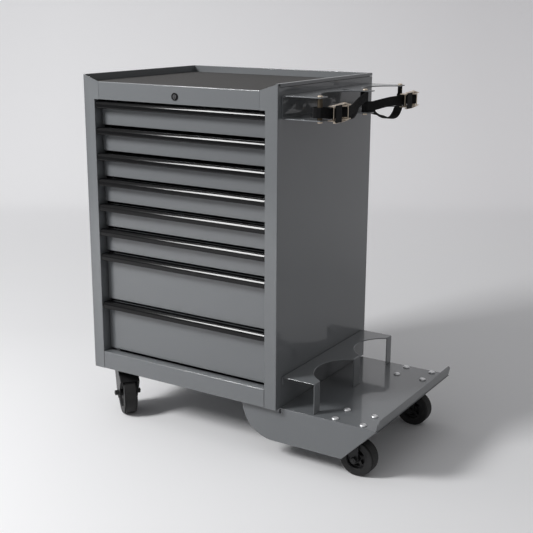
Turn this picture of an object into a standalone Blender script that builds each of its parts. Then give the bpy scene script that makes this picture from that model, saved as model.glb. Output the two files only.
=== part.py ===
"""Welding cart: an eight-drawer roller cabinet with a side platform for two gas bottles.

The cabinet frame has X to the right from the cabinet's left side, Y back from its front and Z up
from its bottom edge. The finished model stands on z = 0 with its box centred on the Z axis.
"""

import math

import bmesh
import bpy
from mathutils import Matrix, Vector

# Cabinet
CABINET_WIDTH = 0.680
CABINET_DEPTH = 0.560
CABINET_HEIGHT = 0.922
CABINET_LIFT = 0.164
SHEET = 0.0012
SEAT_GAP = 0.0003
POST_WIDTH = 0.0402
POST_HEAD_WIDTH = 0.0577
POST_RETURN = 0.045
REAR_FLANGE = 0.018
OPENING_TOP = 0.850
FASCIA_TOP = 0.9026
FASCIA_FOLD = 0.0055
FASCIA_HEM = 0.0166
FASCIA_LIP = 0.012
RAIL_HEIGHT = 0.0566
RAIL_FLANGE = 0.020
RAIL_FOOT = 0.012
FRONT_RECESS = 0.030
BEND = 0.0022
RIM_WIDTH = 0.0085
RIM_SKIRT = 0.009
RIM_SHADOW = 0.0015
TRAY_DEPTH = 0.0245
TRAY_FLANGE = 0.015
MAT_THICKNESS = 0.003
MAT_MARGIN = 0.002
PAN_LEVEL = 0.006
PAN_SHEET = 0.002

# Drawers and their slides
SINGLE_PITCH = 0.078
DOUBLE_PITCH = 2 * SINGLE_PITCH
DRAWER_PITCHES = [SINGLE_PITCH] * 6 + [DOUBLE_PITCH] * 2
FIRST_PULL_DROP = 0.006
DRAWER_SIDE_GAP = 0.0025
DRAWER_SHADOW = 0.0065
DRAWER_FRONT = 0.012
BOX_SHEET = 0.001
BOX_INSET = 0.0183
BOX_DEPTH = 0.480
BOX_RISE = 0.006
BOX_HEADROOM = 0.022
SLIDE_RISE = 0.024
RUNNER_HEIGHT = 0.020
RUNNER_CLEARANCE = 0.0004
RUNNER_START = 0.060
RUNNER_LENGTH = 0.460
RUNNER_THICKNESS = 0.0125
CHANNEL_SHEET = 0.0012
CHANNEL_DEPTH = 0.012
CHANNEL_START = 0.0475
UPRIGHT_WIDTH = 0.030
UPRIGHT_SHEET = 0.0015
UPRIGHT_MARGIN = 0.030
UPRIGHT_STARTS = (0.070, RUNNER_START + RUNNER_LENGTH - UPRIGHT_WIDTH - UPRIGHT_MARGIN)
UPRIGHT_TOP = 0.880
JOIN = 0.0005

# Drawer pulls
PULL_SHEET = 0.0022
PULL_REACH = 0.028
PULL_DROP = 0.021
PULL_LEG = 0.015
PULL_NOSE = 0.006
PULL_CURL = 0.004

# Lock
LOCK_HEIGHT = 0.872
LOCK_FACE_RADIUS = 0.0112
LOCK_PROUD = 0.002
LOCK_BARREL_RADIUS = 0.0095
LOCK_BARREL_LENGTH = 0.033
LOCK_CLEARANCE = 0.0003
KEY_SLOT = (0.0018, 0.010)
CAM_LENGTH = 0.022
CAM_WIDTH = 0.012
CAM_THICKNESS = 0.002

# Platform
PLATE = 0.003
PLATE_BEND = 0.004
PLATFORM_START = 0.551
PLATFORM_END = 0.986
PLATFORM_INSET = 0.0223
PLATFORM_TOP = 0.0015
PLATFORM_STEP = 0.006
APRON_DEPTH = 0.107
APRON_ROUND = 0.105
APRON_SLANT_START = 0.882
NOTCH_WIDTH = 0.008
NOTCH_DEPTH = 0.0165
LIP_HEIGHT = 0.0300
LIP_LEAN = 0.004
LIP_CORNER = 0.008

# Bottle shelf and upper bottle bracket
SHELF_TOP = 0.0938
SHELF_REACH = 0.109
SHELF_START = 0.030
SHELF_LENGTH = 0.507
SHELF_FLANGE = 0.025
BOTTLES = ((0.167, 0.168, 0.120), (0.157, 0.409, 0.105))
BRACKET_TOP = 0.8915
BRACKET_HEIGHT = 0.0635
BRACKET_START = 0.018
BRACKET_LENGTH = 0.524
BRACKET_BEND = 0.006
SIDE_PRONG_REACH = 0.118
MIDDLE_PRONG_REACH = 0.132
BRACKET_HOLE = (0.055, 0.290, 0.017)
POST_INSET = 0.014
POST_PLACES = {
    "front": (0.109, BRACKET_START + POST_INSET),
    "middle": (0.111, 0.289),
    "rear": (0.109, BRACKET_START + BRACKET_LENGTH - POST_INSET),
}
POST_RADIUS = 0.004
POST_CLEARANCE = 0.0003
SLEEVE_RADIUS = 0.007
BOLT_HEAD_RADIUS = 0.0075
BOLT_HEAD_HEIGHT = 0.0042

# Straps and their ratchets
WEBBING_WIDTH = 0.0275
WEBBING_THICKNESS = 0.0016
WEBBING_SEAT = 0.0005
PIN_SEAT = 0.0004
STRAP_LEVELS = (0.8454, 0.8741)
SPOOL_TURN = 0.0085
RATCHET_OFFSETS = {"front": (0.022, 0.0945, 0.8470), "rear": (0.043, 0.0025, 0.8520)}
RATCHET_PLACES = {
    name: (CABINET_WIDTH + POST_PLACES[name][0] + x, POST_PLACES[name][1] + y, z)
    for name, (x, y, z) in RATCHET_OFFSETS.items()}
RATCHET_YAW = 90.0
RATCHET_HALF_GAP = 0.0175
RATCHET_PLATE = 0.002
RATCHET_DEPTH = 0.026
RATCHET_TAIL = 0.0735
RATCHET_NOSE = 0.0245
RATCHET_PIN_PLACE = 0.058
RATCHET_PIN_RADIUS = 0.003
TIE_BAR_PLACE = 0.040
TIE_BAR_WIDTH = 0.010
GUIDE_BAR_RADIUS = 0.0014
GUIDE_BAR_PLACE = 0.0114
SPOOL_RADIUS = 0.0070
SPOOL_END_RADIUS = 0.0040
SPOOL_SLOT = 0.0026
SPOOL_CLEARANCE = 0.0004
COG_RADIUS = 0.0125
COG_TOOTH = 0.0025
COG_TEETH = 12
COG_THICKNESS = 0.002
HANDLE_LENGTH = 0.076
HANDLE_EYE_RADIUS = 0.008
HANDLE_PLATE = 0.0016
HANDLE_OFFSET = 0.0158
GRIP_START = 0.042
GRIP_DROP = 0.0090

# Casters
WHEEL_WIDTH = 0.042
WHEEL_STEPS = 32
WHEEL_BORE = 0.0043
WHEEL_HUB = 0.011
WHEEL_BOSS = 0.002
HUB_PLAY = 0.0008
WHEEL_WEB = 0.022
WHEEL_MEMBRANE = 0.003
WHEEL_SIDE = 0.0225
WHEEL_SHOULDER = 0.004
WHEEL_GROOVE = 0.0015
TREAD_WIDTH = 0.033
SPOKES = 5
SPOKE_WIDTH = 0.0085
POCKET_MARGIN = 0.0025
AXLE_RADIUS = 0.004
AXLE_NUT_RADIUS = 0.0092
AXLE_NUT = 0.011
FORK_PLATE = 0.0035
SWIVEL_WHEEL_RADIUS = 0.0695
SWIVEL_PLACES = {"front": (0.053, 0.084, 50.0), "rear": (0.053, CABINET_DEPTH - 0.084, 35.0)}
SWIVEL_LEAD = 0.030
SWIVEL_FORK_WIDTH = 0.062
SWIVEL_FORK_BACK = 0.026
SWIVEL_FORK_BOSS = 0.018
SWIVEL_FORK_TOP = -0.0125
HOOD_CLEARANCE = 0.004
HOOD_ARC = (104.0, 135.0)
SWIVEL_PLATE = 0.004
SWIVEL_PLATE_SIZE = (0.076, 0.075)
SWIVEL_BOLTS = (0.058, 0.057)
RACE_RADIUS = 0.030
RACE_HEIGHT = 0.0042
KINGPIN_RADIUS = 0.005
KINGPIN_HEAD = 0.009
KINGPIN_HEAD_HEIGHT = 0.004
RACE_STEP = 0.003
FIXED_WHEEL_RADIUS = 0.0525
FIXED_PLACES = {"front": (0.075, 0.016), "rear": (CABINET_DEPTH - 0.075, 0.004)}
FIXED_X = 0.8957
FIXED_FORK_WIDTH = 0.058
FIXED_FORK_BOSS = 0.012
FIXED_FORK_FRONT = 0.010
FIXED_FORK_BACK = 0.040
FIXED_PLATE_SIZE = (0.092, 0.106)
FIXED_BOLTS = (0.0725, 0.087)
MOUNT_BOLT_RADIUS = 0.004
CARRIAGE_BOLT_RADIUS = 0.0047
CARRIAGE_HEAD_RADIUS = 0.0103
CARRIAGE_HEAD_HEIGHT = 0.006
HOLE_CLEARANCE = 0.0004
NUT_HEIGHT = 0.007

# The frame: the cabinet's left side and the platform's lip bound the model's box
CENTRE_X = (PLATFORM_END + LIP_LEAN + PLATE) / 2
CENTRE_Y = (CABINET_DEPTH - LOCK_PROUD - SEAT_GAP) / 2
CABINET = Matrix.Translation((-CENTRE_X, -CENTRE_Y, CABINET_LIFT))

for item in list(bpy.context.scene.objects):
    bpy.data.objects.remove(item, do_unlink=True)
PARTS = bpy.data.collections.new("welding_cart")
CUTTERS = bpy.data.collections.new("cutters")
for folder in (PARTS, CUTTERS):
    bpy.context.scene.collection.children.link(folder)


def material(name, colour, roughness, metallic):
    """A Principled surface of one colour."""
    made = bpy.data.materials.new(name)
    made.use_nodes = True
    surface = made.node_tree.nodes["Principled BSDF"]
    surface.inputs["Base Color"].default_value = (*colour, 1.0)
    surface.inputs["Roughness"].default_value = roughness
    surface.inputs["Metallic"].default_value = metallic
    return made


SLATE_PAINT = material("slate_paint", (0.155, 0.175, 0.188), 0.32, 0.15)
BLACK_GLOSS = material("black_gloss", (0.012, 0.012, 0.013), 0.16, 0.0)
YELLOW_ZINC = material("yellow_zinc", (0.62, 0.47, 0.27), 0.32, 1.0)
BLACK_STEEL = material("black_steel", (0.020, 0.020, 0.022), 0.42, 0.6)
RUBBER = material("black_rubber", (0.018, 0.018, 0.019), 0.62, 0.0)
WEBBING = material("black_webbing", (0.014, 0.014, 0.015), 0.78, 0.0)
MAT_FOAM = material("grey_mat", (0.115, 0.108, 0.102), 0.85, 0.0)
GALVANISED = material("galvanised_steel", (0.50, 0.52, 0.54), 0.38, 0.9)


def add_object(name, mesh, pose, finish=None):
    """Link a mesh as a part, or as a hidden cutter when it has no finish."""
    made = bpy.data.objects.new(name, mesh)
    made.matrix_world = pose
    if finish:
        mesh.materials.append(finish)
        PARTS.objects.link(made)
    else:
        made.hide_render = True
        made.display_type = "WIRE"
        CUTTERS.objects.link(made)
    return made


def from_bmesh(name, shape, pose, finish):
    """Write a bmesh to a new object."""
    mesh = bpy.data.meshes.new(name)
    shape.to_mesh(mesh)
    shape.free()
    return add_object(name, mesh, pose, finish)


def block(name, low, high, pose=CABINET, finish=None):
    """A box between two corners."""
    shape = bmesh.new()
    bmesh.ops.create_cube(shape, size=1.0)
    low, high = Vector(low), Vector(high)
    bmesh.ops.scale(shape, vec=high - low, verts=shape.verts)
    bmesh.ops.translate(shape, vec=(low + high) / 2, verts=shape.verts)
    return from_bmesh(name, shape, pose, finish)


def rod(name, start, end, radius, pose=CABINET, finish=None, sides=12, tip_radius=None):
    """A cylinder, cone or hexagon from one point to another."""
    start, end = Vector(start), Vector(end)
    along = end - start
    turn = along.to_track_quat("Z", "Y").to_matrix().to_4x4()
    shape = bmesh.new()
    bmesh.ops.create_cone(
        shape, cap_ends=True, segments=sides, radius1=radius,
        radius2=radius if tip_radius is None else tip_radius,
        depth=along.length, matrix=Matrix.Translation((start + end) / 2) @ turn)
    made = from_bmesh(name, shape, pose, finish)
    smooth(made)
    return made


def smooth(item, angle=40.0):
    """Shade round faces smooth and keep the corners sharp."""
    item.data.shade_smooth()
    item.data.set_sharp_from_angle(angle=math.radians(angle))


PLANES = {
    "xy": Matrix.Identity(4),
    "xz": Matrix(((1, 0, 0, 0), (0, 0, -1, 0), (0, 1, 0, 0), (0, 0, 0, 1))),
    "yz": Matrix(((0, 0, 1, 0), (1, 0, 0, 0), (0, 1, 0, 0), (0, 0, 0, 1))),
}


def plate(name, outlines, thickness, plane, level, pose=CABINET, finish=None):
    """A flat outline, with any holes, given its thickness about a level of its plane."""
    curve = bpy.data.curves.new(name, "CURVE")
    curve.dimensions = "2D"
    curve.fill_mode = "BOTH"
    curve.extrude = thickness / 2
    for outline in outlines:
        spline = curve.splines.new("POLY")
        spline.points.add(len(outline) - 1)
        for point, (a, b) in zip(spline.points, outline):
            point.co = (a, b, 0.0, 1.0)
        spline.use_cyclic_u = True
    drawn = bpy.data.objects.new(name + "_outline", curve)
    offset = {"xy": (0, 0, level), "xz": (0, level, 0), "yz": (level, 0, 0)}[plane]
    bpy.context.scene.collection.objects.link(drawn)
    bpy.context.view_layer.update()
    graph = bpy.context.evaluated_depsgraph_get()
    mesh = bpy.data.meshes.new_from_object(drawn.evaluated_get(graph), depsgraph=graph)
    bpy.data.objects.remove(drawn, do_unlink=True)
    shape = bmesh.new()
    shape.from_mesh(mesh)
    bmesh.ops.remove_doubles(shape, verts=shape.verts, dist=1e-6)
    bmesh.ops.transform(shape, matrix=Matrix.Translation(offset) @ PLANES[plane], verts=shape.verts)
    bmesh.ops.recalc_face_normals(shape, faces=shape.faces)
    shape.to_mesh(mesh)
    shape.free()
    mesh.name = name
    mesh.materials.clear()
    return add_object(name, mesh, pose, finish)


def sheet(name, panels, thickness, bend, pose=CABINET, finish=None, segments=2):
    """Folded sheet metal: flat panels that share edges, with rounded bends.

    The first panel's corners run anticlockwise seen from the side that keeps its place, and the
    thickness goes to the other side.
    """
    shape = bmesh.new()
    corners = {}
    for panel in panels:
        ring = []
        for point in panel:
            key = tuple(round(value, 6) for value in point)
            if key not in corners:
                corners[key] = shape.verts.new(point)
            ring.append(corners[key])
        shape.faces.new(ring)
    bmesh.ops.recalc_face_normals(shape, faces=shape.faces)
    shape.faces.ensure_lookup_table()
    shape.normal_update()
    wanted = Vector((0, 0, 0))
    first = [Vector(point) for point in panels[0]]
    for a, b in zip(first, first[1:] + first[:1]):
        wanted += a.cross(b)
    if shape.faces[0].normal.dot(wanted) < 0:
        bmesh.ops.reverse_faces(shape, faces=shape.faces)
    weight = shape.edges.layers.float.new("bevel_weight_edge")
    for edge in shape.edges:
        edge[weight] = 1.0 if len(edge.link_faces) == 2 else 0.0
    made = from_bmesh(name, shape, pose, finish)
    if bend:
        rounding = made.modifiers.new("bends", "BEVEL")
        rounding.limit_method = "WEIGHT"
        rounding.width = bend
        rounding.segments = segments
    solid = made.modifiers.new("thickness", "SOLIDIFY")
    solid.solidify_mode = "NON_MANIFOLD"
    solid.nonmanifold_thickness_mode = "CONSTRAINTS"
    solid.thickness = thickness
    solid.offset = -1.0
    return made


def extruded(name, path, start, end, thickness, pose=CABINET, finish=None):
    """A sheet profile in Y and Z, drawn along X; the side away from its section keeps its place."""
    panels = []
    for (ya, za), (yb, zb) in zip(path, path[1:]):
        panels.append([(end, ya, za), (end, yb, zb), (start, yb, zb), (start, ya, za)])
    return sheet(name, panels, thickness, 0.0, pose, finish)


def turned(name, profile, steps, pose, finish=None, closed=False):
    """A profile of radius and height spun round its Z axis."""
    shape = bmesh.new()
    points = [shape.verts.new((radius, 0.0, height)) for radius, height in profile]
    ends = points[1:] + points[:1] if closed else points[1:]
    for a, b in zip(points, ends):
        shape.edges.new((a, b))
    made = from_bmesh(name, shape, pose, finish)
    spin = made.modifiers.new("turn", "SCREW")
    spin.steps = steps
    spin.render_steps = steps
    spin.use_merge_vertices = True
    spin.merge_threshold = 0.00001
    spin.use_smooth_shade = True
    return made


def boolean(target, operation, tools):
    """Join the tools to the target or cut them out of it."""
    for tool in tools:
        step = target.modifiers.new(operation.lower(), "BOOLEAN")
        step.operation = operation
        step.solver = "EXACT"
        step.object = tool


def fuse(target, *tools):
    """One body from several that overlap."""
    boolean(target, "UNION", tools)


def cut(target, *tools):
    """Take the tools' shapes out of the target."""
    boolean(target, "DIFFERENCE", tools)


def arc(centre, radius, start, end, steps):
    """Points on a circle from one angle to another, in degrees."""
    angles = [math.radians(start + (end - start) * i / steps) for i in range(steps + 1)]
    return [(centre[0] + radius * math.cos(a), centre[1] + radius * math.sin(a)) for a in angles]


def circle(centre, radius, steps=16):
    """A closed round outline."""
    return arc(centre, radius, 0.0, 360.0 * (steps - 1) / steps, steps - 1)


def placed(x, y, z, yaw=0.0):
    """A frame at a point of the cabinet frame, turned about Z by degrees."""
    return CABINET @ Matrix.Translation((x, y, z)) @ Matrix.Rotation(math.radians(yaw), 4, "Z")


def side_panel(name, flip):
    """Outer skin with its corner post, post head and rear flange folded from one sheet."""
    def x(value):
        return CABINET_WIDTH - value if flip else value

    side_top = CABINET_HEIGHT - RIM_SKIRT - RIM_SHADOW
    slope = RIM_SKIRT + RIM_SHADOW
    skin = [(x(0), 0, 0), (x(0), 0, CABINET_HEIGHT), (x(0), slope, side_top),
            (x(0), CABINET_DEPTH, side_top), (x(0), CABINET_DEPTH, 0)]
    face = [(x(0), 0, 0), (x(POST_WIDTH), 0, 0), (x(POST_WIDTH), 0, OPENING_TOP),
            (x(POST_HEAD_WIDTH), 0, OPENING_TOP), (x(POST_HEAD_WIDTH), 0, FASCIA_TOP),
            (x(0), 0, CABINET_HEIGHT)]
    fold = [(x(POST_WIDTH), 0, 0), (x(POST_WIDTH), POST_RETURN, 0),
            (x(POST_WIDTH), POST_RETURN, OPENING_TOP), (x(POST_WIDTH), 0, OPENING_TOP)]
    rear = [(x(0), CABINET_DEPTH, 0), (x(0), CABINET_DEPTH, side_top),
            (x(REAR_FLANGE), CABINET_DEPTH, side_top), (x(REAR_FLANGE), CABINET_DEPTH, 0)]
    if flip:
        skin.reverse()
    return sheet(name, [skin, face, fold, rear], SHEET, BEND, finish=SLATE_PAINT)


def top_tray():
    """Lid tray: floor, three hooded rims with mitred back corners and a hidden front flange."""
    width, depth = CABINET_WIDTH, CABINET_DEPTH
    floor, rim, top = CABINET_HEIGHT - TRAY_DEPTH, RIM_WIDTH, CABINET_HEIGHT
    skirt = top - RIM_SKIRT
    front = SHEET + 2 * SEAT_GAP
    step = FASCIA_FOLD + SEAT_GAP
    head = POST_HEAD_WIDTH
    start = RIM_SKIRT + RIM_SHADOW
    panels = [[(rim, front, floor), (head, front, floor), (head, step, floor),
               (width - head, step, floor), (width - head, front, floor),
               (width - rim, front, floor), (width - rim, depth - rim, floor),
               (rim, depth - rim, floor)]]
    panels.append([(head, step, floor), (width - head, step, floor),
                   (width - head, step, floor - TRAY_FLANGE), (head, step, floor - TRAY_FLANGE)])
    for inner, outer in ((rim, 0.0), (width - rim, width)):
        panels.append([(inner, front, floor), (inner, depth - rim, floor),
                       (inner, depth - rim, top), (inner, front, top)])
        panels.append([(inner, front, top), (inner, depth - rim, top), (outer, depth, top),
                       (outer, start, top), (outer, front, top)])
        panels.append([(outer, start, top), (outer, depth, top), (outer, depth, skirt),
                       (outer, start, skirt)])
    panels.append([(rim, depth - rim, floor), (width - rim, depth - rim, floor),
                   (width - rim, depth - rim, top), (rim, depth - rim, top)])
    panels.append([(rim, depth - rim, top), (width - rim, depth - rim, top),
                   (width, depth, top), (0, depth, top)])
    panels.append([(0, depth, top), (width, depth, top), (width, depth, skirt), (0, depth, skirt)])
    return sheet("top_tray", panels, SHEET, 0.0, finish=SLATE_PAINT)


def cabinet_shell():
    """Side panels, back, lid tray and mat, fascia, bottom rail and floor pan."""
    side_panel("side_panel_left", False)
    side_panel("side_panel_right", True)
    back = CABINET_DEPTH - SHEET - SEAT_GAP
    margin = SHEET + SEAT_GAP
    corner = SHEET + BEND
    tray_floor = CABINET_HEIGHT - TRAY_DEPTH
    block("back_panel", (corner, back - SHEET, PAN_LEVEL + PAN_SHEET + SEAT_GAP),
          (CABINET_WIDTH - corner, back, tray_floor - SHEET - SEAT_GAP), finish=SLATE_PAINT)
    top_tray()
    edge = RIM_WIDTH + MAT_MARGIN
    block("top_mat", (edge, FASCIA_FOLD + MAT_MARGIN, tray_floor + SEAT_GAP),
          (CABINET_WIDTH - edge, CABINET_DEPTH - edge, tray_floor + SEAT_GAP + MAT_THICKNESS),
          finish=MAT_FOAM)

    fascia_path = [(FRONT_RECESS, OPENING_TOP + FASCIA_LIP), (FRONT_RECESS, OPENING_TOP),
                   (0, OPENING_TOP), (0, FASCIA_TOP), (FASCIA_FOLD, FASCIA_TOP),
                   (FASCIA_FOLD, FASCIA_TOP - FASCIA_HEM)]
    start = POST_HEAD_WIDTH + SEAT_GAP
    fascia = extruded("front_fascia", fascia_path, start, CABINET_WIDTH - start, SHEET,
                      finish=SLATE_PAINT)
    middle = CABINET_WIDTH / 2
    cut(fascia, rod("lock_hole", (middle, -SHEET, LOCK_HEIGHT), (middle, 2 * SHEET, LOCK_HEIGHT),
                    LOCK_BARREL_RADIUS + LOCK_CLEARANCE, sides=20))

    rail_path = [(RAIL_FOOT, 0), (0, 0), (0, RAIL_HEIGHT), (FRONT_RECESS, RAIL_HEIGHT),
                 (FRONT_RECESS, RAIL_HEIGHT - RAIL_FLANGE)]
    start = POST_WIDTH + SEAT_GAP
    extruded("bottom_rail", rail_path, start, CABINET_WIDTH - start, SHEET, finish=SLATE_PAINT)

    near = RAIL_FOOT + 2 * SEAT_GAP
    corner_x = POST_WIDTH + 2 * SEAT_GAP
    corner_y = POST_RETURN + 2 * SEAT_GAP
    far = CABINET_DEPTH - margin
    outline = [(corner_x, near), (CABINET_WIDTH - corner_x, near),
               (CABINET_WIDTH - corner_x, corner_y), (CABINET_WIDTH - margin, corner_y),
               (CABINET_WIDTH - margin, far - BEND), (CABINET_WIDTH - margin - BEND, far),
               (margin + BEND, far), (margin, far - BEND), (margin, corner_y),
               (corner_x, corner_y)]
    holes = []
    for x, y, _ in SWIVEL_PLACES.values():
        for across in (-1, 1):
            for along in (-1, 1):
                centre = (x + across * SWIVEL_BOLTS[0] / 2, y + along * SWIVEL_BOLTS[1] / 2)
                holes.append(circle(centre, MOUNT_BOLT_RADIUS + HOLE_CLEARANCE, 10))
    plate("floor_pan", [outline] + holes, PAN_SHEET, "xy", PAN_LEVEL + PAN_SHEET / 2,
          finish=SLATE_PAINT)


def pull_tops():
    """The height of each pull's top, from the top drawer down, with its drawer's pitch."""
    level = OPENING_TOP - FIRST_PULL_DROP
    for pitch in DRAWER_PITCHES:
        yield level, pitch
        level -= pitch


def slide_level(top, pitch):
    """The height of a drawer's slides."""
    return top - pitch + DRAWER_SHADOW + BOX_RISE + SLIDE_RISE


def drawers():
    """Eight drawers, each a box with its front and runners, and a folded pull."""
    front_start = POST_WIDTH + DRAWER_SIDE_GAP
    front_end = CABINET_WIDTH - front_start
    box_start = POST_WIDTH + BOX_INSET
    box_end = CABINET_WIDTH - box_start
    front_back = FRONT_RECESS + DRAWER_FRONT
    box_front = front_back - JOIN
    box_back = box_front + BOX_DEPTH
    for number, (top, pitch) in enumerate(pull_tops(), 1):
        bottom = top - pitch + DRAWER_SHADOW
        drawer = block(f"drawer_{number}", (front_start, FRONT_RECESS, bottom),
                       (front_end, front_back, top - PULL_SHEET - SEAT_GAP), finish=SLATE_PAINT)
        low, high = bottom + BOX_RISE, bottom + BOX_RISE + pitch - BOX_HEADROOM
        floor = [(box_start, box_front, low), (box_start, box_back, low),
                 (box_end, box_back, low), (box_end, box_front, low)]
        walls = [[(*a[:2], low), (*b[:2], low), (*b[:2], high), (*a[:2], high)]
                 for a, b in zip(floor, floor[1:] + floor[:1])]
        box = sheet(f"drawer_{number}_box", [floor] + walls, BOX_SHEET, 0.0)
        level = slide_level(top, pitch)
        runners = []
        for side in (0, 1):
            inner = box_start + JOIN
            outer = inner - RUNNER_THICKNESS
            if side:
                inner, outer = CABINET_WIDTH - outer, CABINET_WIDTH - inner
            runners.append(block(
                f"drawer_{number}_runner_{side}", (outer, RUNNER_START, level - RUNNER_HEIGHT / 2),
                (inner, RUNNER_START + RUNNER_LENGTH, level + RUNNER_HEIGHT / 2)))
        fuse(drawer, box, *runners)
        pull(number, top, front_start, front_end)


def pull(number, top, start, end):
    """A folded pull: a leg on the drawer's face, a ledge, a round nose and a curled lip."""
    face = FRONT_RECESS - SEAT_GAP
    nose = FRONT_RECESS - PULL_REACH
    outer = [(face, top - PULL_LEG), (face, top)]
    outer += arc((nose + PULL_NOSE, top - PULL_NOSE), PULL_NOSE, 90, 180, 4)
    curl = (nose + PULL_CURL, top - PULL_DROP + PULL_CURL)
    outer += arc(curl, PULL_CURL, 180, 300, 4)
    inner = arc(curl, PULL_CURL - PULL_SHEET, 300, 180, 4)
    inner += arc((nose + PULL_NOSE, top - PULL_NOSE), PULL_NOSE - PULL_SHEET, 180, 90, 4)
    inner += [(face - PULL_SHEET, top - PULL_SHEET), (face - PULL_SHEET, top - PULL_LEG)]
    plate(f"drawer_pull_{number}", [outer + inner], end - start, "yz", (start + end) / 2,
          finish=BLACK_GLOSS)


def slide_racks():
    """On each side two uprights that carry a channel for every drawer's runner."""
    channel_end = RUNNER_START + RUNNER_LENGTH
    half = RUNNER_HEIGHT / 2 + RUNNER_CLEARANCE + CHANNEL_SHEET
    mouth = POST_WIDTH + BOX_INSET - BOX_SHEET - 2 * RUNNER_CLEARANCE - JOIN
    web = mouth - CHANNEL_DEPTH
    for side in ("left", "right"):
        def x(value):
            return value if side == "left" else CABINET_WIDTH - value

        members = []
        for start in UPRIGHT_STARTS:
            points = [(x(SHEET + SEAT_GAP), start), (x(web + JOIN), start),
                      (x(web + JOIN), start + UPRIGHT_WIDTH),
                      (x(SHEET + SEAT_GAP), start + UPRIGHT_WIDTH)]
            if side == "right":
                points.reverse()
            low = PAN_LEVEL + PAN_SHEET + SEAT_GAP
            panels = [[(*a, UPRIGHT_TOP), (*a, low), (*b, low), (*b, UPRIGHT_TOP)]
                      for a, b in zip(points, points[1:])]
            members.append((panels, UPRIGHT_SHEET))
        for top, pitch in pull_tops():
            level = slide_level(top, pitch)
            points = [(x(mouth), level + half), (x(web), level + half),
                      (x(web), level - half), (x(mouth), level - half)]
            if side == "right":
                points.reverse()
            panels = [[(xa, CHANNEL_START, za), (xb, CHANNEL_START, zb),
                       (xb, channel_end, zb), (xa, channel_end, za)]
                      for (xa, za), (xb, zb) in zip(points, points[1:])]
            members.append(([panel[::-1] for panel in panels], CHANNEL_SHEET))
        rack = sheet(f"slide_rack_{side}", *members[0], 0.0, finish=GALVANISED)
        fuse(rack, *[sheet(f"rack_{side}_member_{i}", panels, gauge, 0.0)
                     for i, (panels, gauge) in enumerate(members[1:])])


def lock():
    """Turning lock: face with a key slot, barrel through the fascia and a cam behind it."""
    pose = placed(CABINET_WIDTH / 2, 0, LOCK_HEIGHT)
    front = -SEAT_GAP - LOCK_PROUD
    cylinder = rod("lock_cylinder", (0, front, 0), (0, -SEAT_GAP, 0), LOCK_FACE_RADIUS, pose,
                   BLACK_GLOSS, sides=20)
    barrel = rod("lock_barrel", (0, front + JOIN, 0), (0, LOCK_BARREL_LENGTH, 0),
                 LOCK_BARREL_RADIUS, pose, sides=20)
    cam_back = LOCK_BARREL_LENGTH + CAM_THICKNESS - JOIN
    cam = block("lock_cam", (-CAM_LENGTH, LOCK_BARREL_LENGTH - JOIN, -CAM_WIDTH / 2),
                (CAM_WIDTH / 2, cam_back, CAM_WIDTH / 2), pose)
    slot = block("key_slot", (-KEY_SLOT[0] / 2, front - JOIN, -KEY_SLOT[1] / 2),
                 (KEY_SLOT[0] / 2, front + LOCK_PROUD, KEY_SLOT[1] / 2), pose)
    fuse(cylinder, barrel, cam)
    cut(cylinder, slot)


def bolt_places(x, y, pattern):
    """The four corners of a bolt pattern."""
    return [(x + i * pattern[0] / 2, y + j * pattern[1] / 2) for i in (-1, 1) for j in (-1, 1)]


def platform():
    """Bottle platform: one folded plate with two deep aprons and an upturned outer lip."""
    under, top = -SEAT_GAP, PLATFORM_TOP
    near, far = PLATFORM_INSET, CABINET_DEPTH - PLATFORM_INSET
    step = CABINET_WIDTH
    rise = step + PLATFORM_STEP
    end = PLATFORM_END
    notch = rise - NOTCH_WIDTH
    lip = end + LIP_LEAN
    tip = top + LIP_HEIGHT
    bottom = -APRON_DEPTH
    curve = arc((PLATFORM_START + APRON_ROUND, bottom + APRON_ROUND), APRON_ROUND, 180, 270, 8)
    panels = [[(rise, near, top), (end, near, top), (end, far, top), (rise, far, top)],
              [(step, near, under), (rise, near, top), (rise, far, top), (step, far, under)],
              [(PLATFORM_START, near, under), (notch, near, under), (step, near, under),
               (step, far, under), (notch, far, under), (PLATFORM_START, far, under)],
              [(end, near, top), (end, far, top), (lip, far, tip - LIP_CORNER),
               (lip, far - LIP_CORNER, tip), (lip, near + LIP_CORNER, tip),
               (lip, near, tip - LIP_CORNER)]]
    for y in (near, far):
        apron = [(PLATFORM_START, y, under)] + [(x, y, z) for x, z in curve]
        apron += [(APRON_SLANT_START, y, bottom), (end, y, top), (rise, y, top),
                  (rise, y, top - NOTCH_DEPTH), (notch, y, top - NOTCH_DEPTH), (notch, y, under)]
        panels.append(apron)
    made = sheet("platform", panels, PLATE, 0.0, finish=SLATE_PAINT)
    holes = []
    for name, (y, _) in FIXED_PLACES.items():
        pattern = (FIXED_BOLTS[1], FIXED_BOLTS[0])
        for i, (hole_x, hole_y) in enumerate(bolt_places(FIXED_X, y, pattern)):
            holes.append(rod(f"platform_hole_{name}_{i}", (hole_x, hole_y, top - 3 * PLATE),
                             (hole_x, hole_y, top + PLATE), CARRIAGE_BOLT_RADIUS + HOLE_CLEARANCE,
                             sides=10))
    cut(made, *holes)


def bottle_edge(near, far, tips):
    """The scalloped outer edge from one end to the other: three prongs, two round cut-outs."""
    points = [(tips[0], near)]
    for (x, y, radius), before, after in zip(BOTTLES, tips, tips[1:]):
        start = 360 - math.degrees(math.acos((before - x) / radius))
        end = math.degrees(math.acos((after - x) / radius))
        points += arc((x, y), radius, start, end, 14)
    points.append((tips[2], far))
    return points


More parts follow.
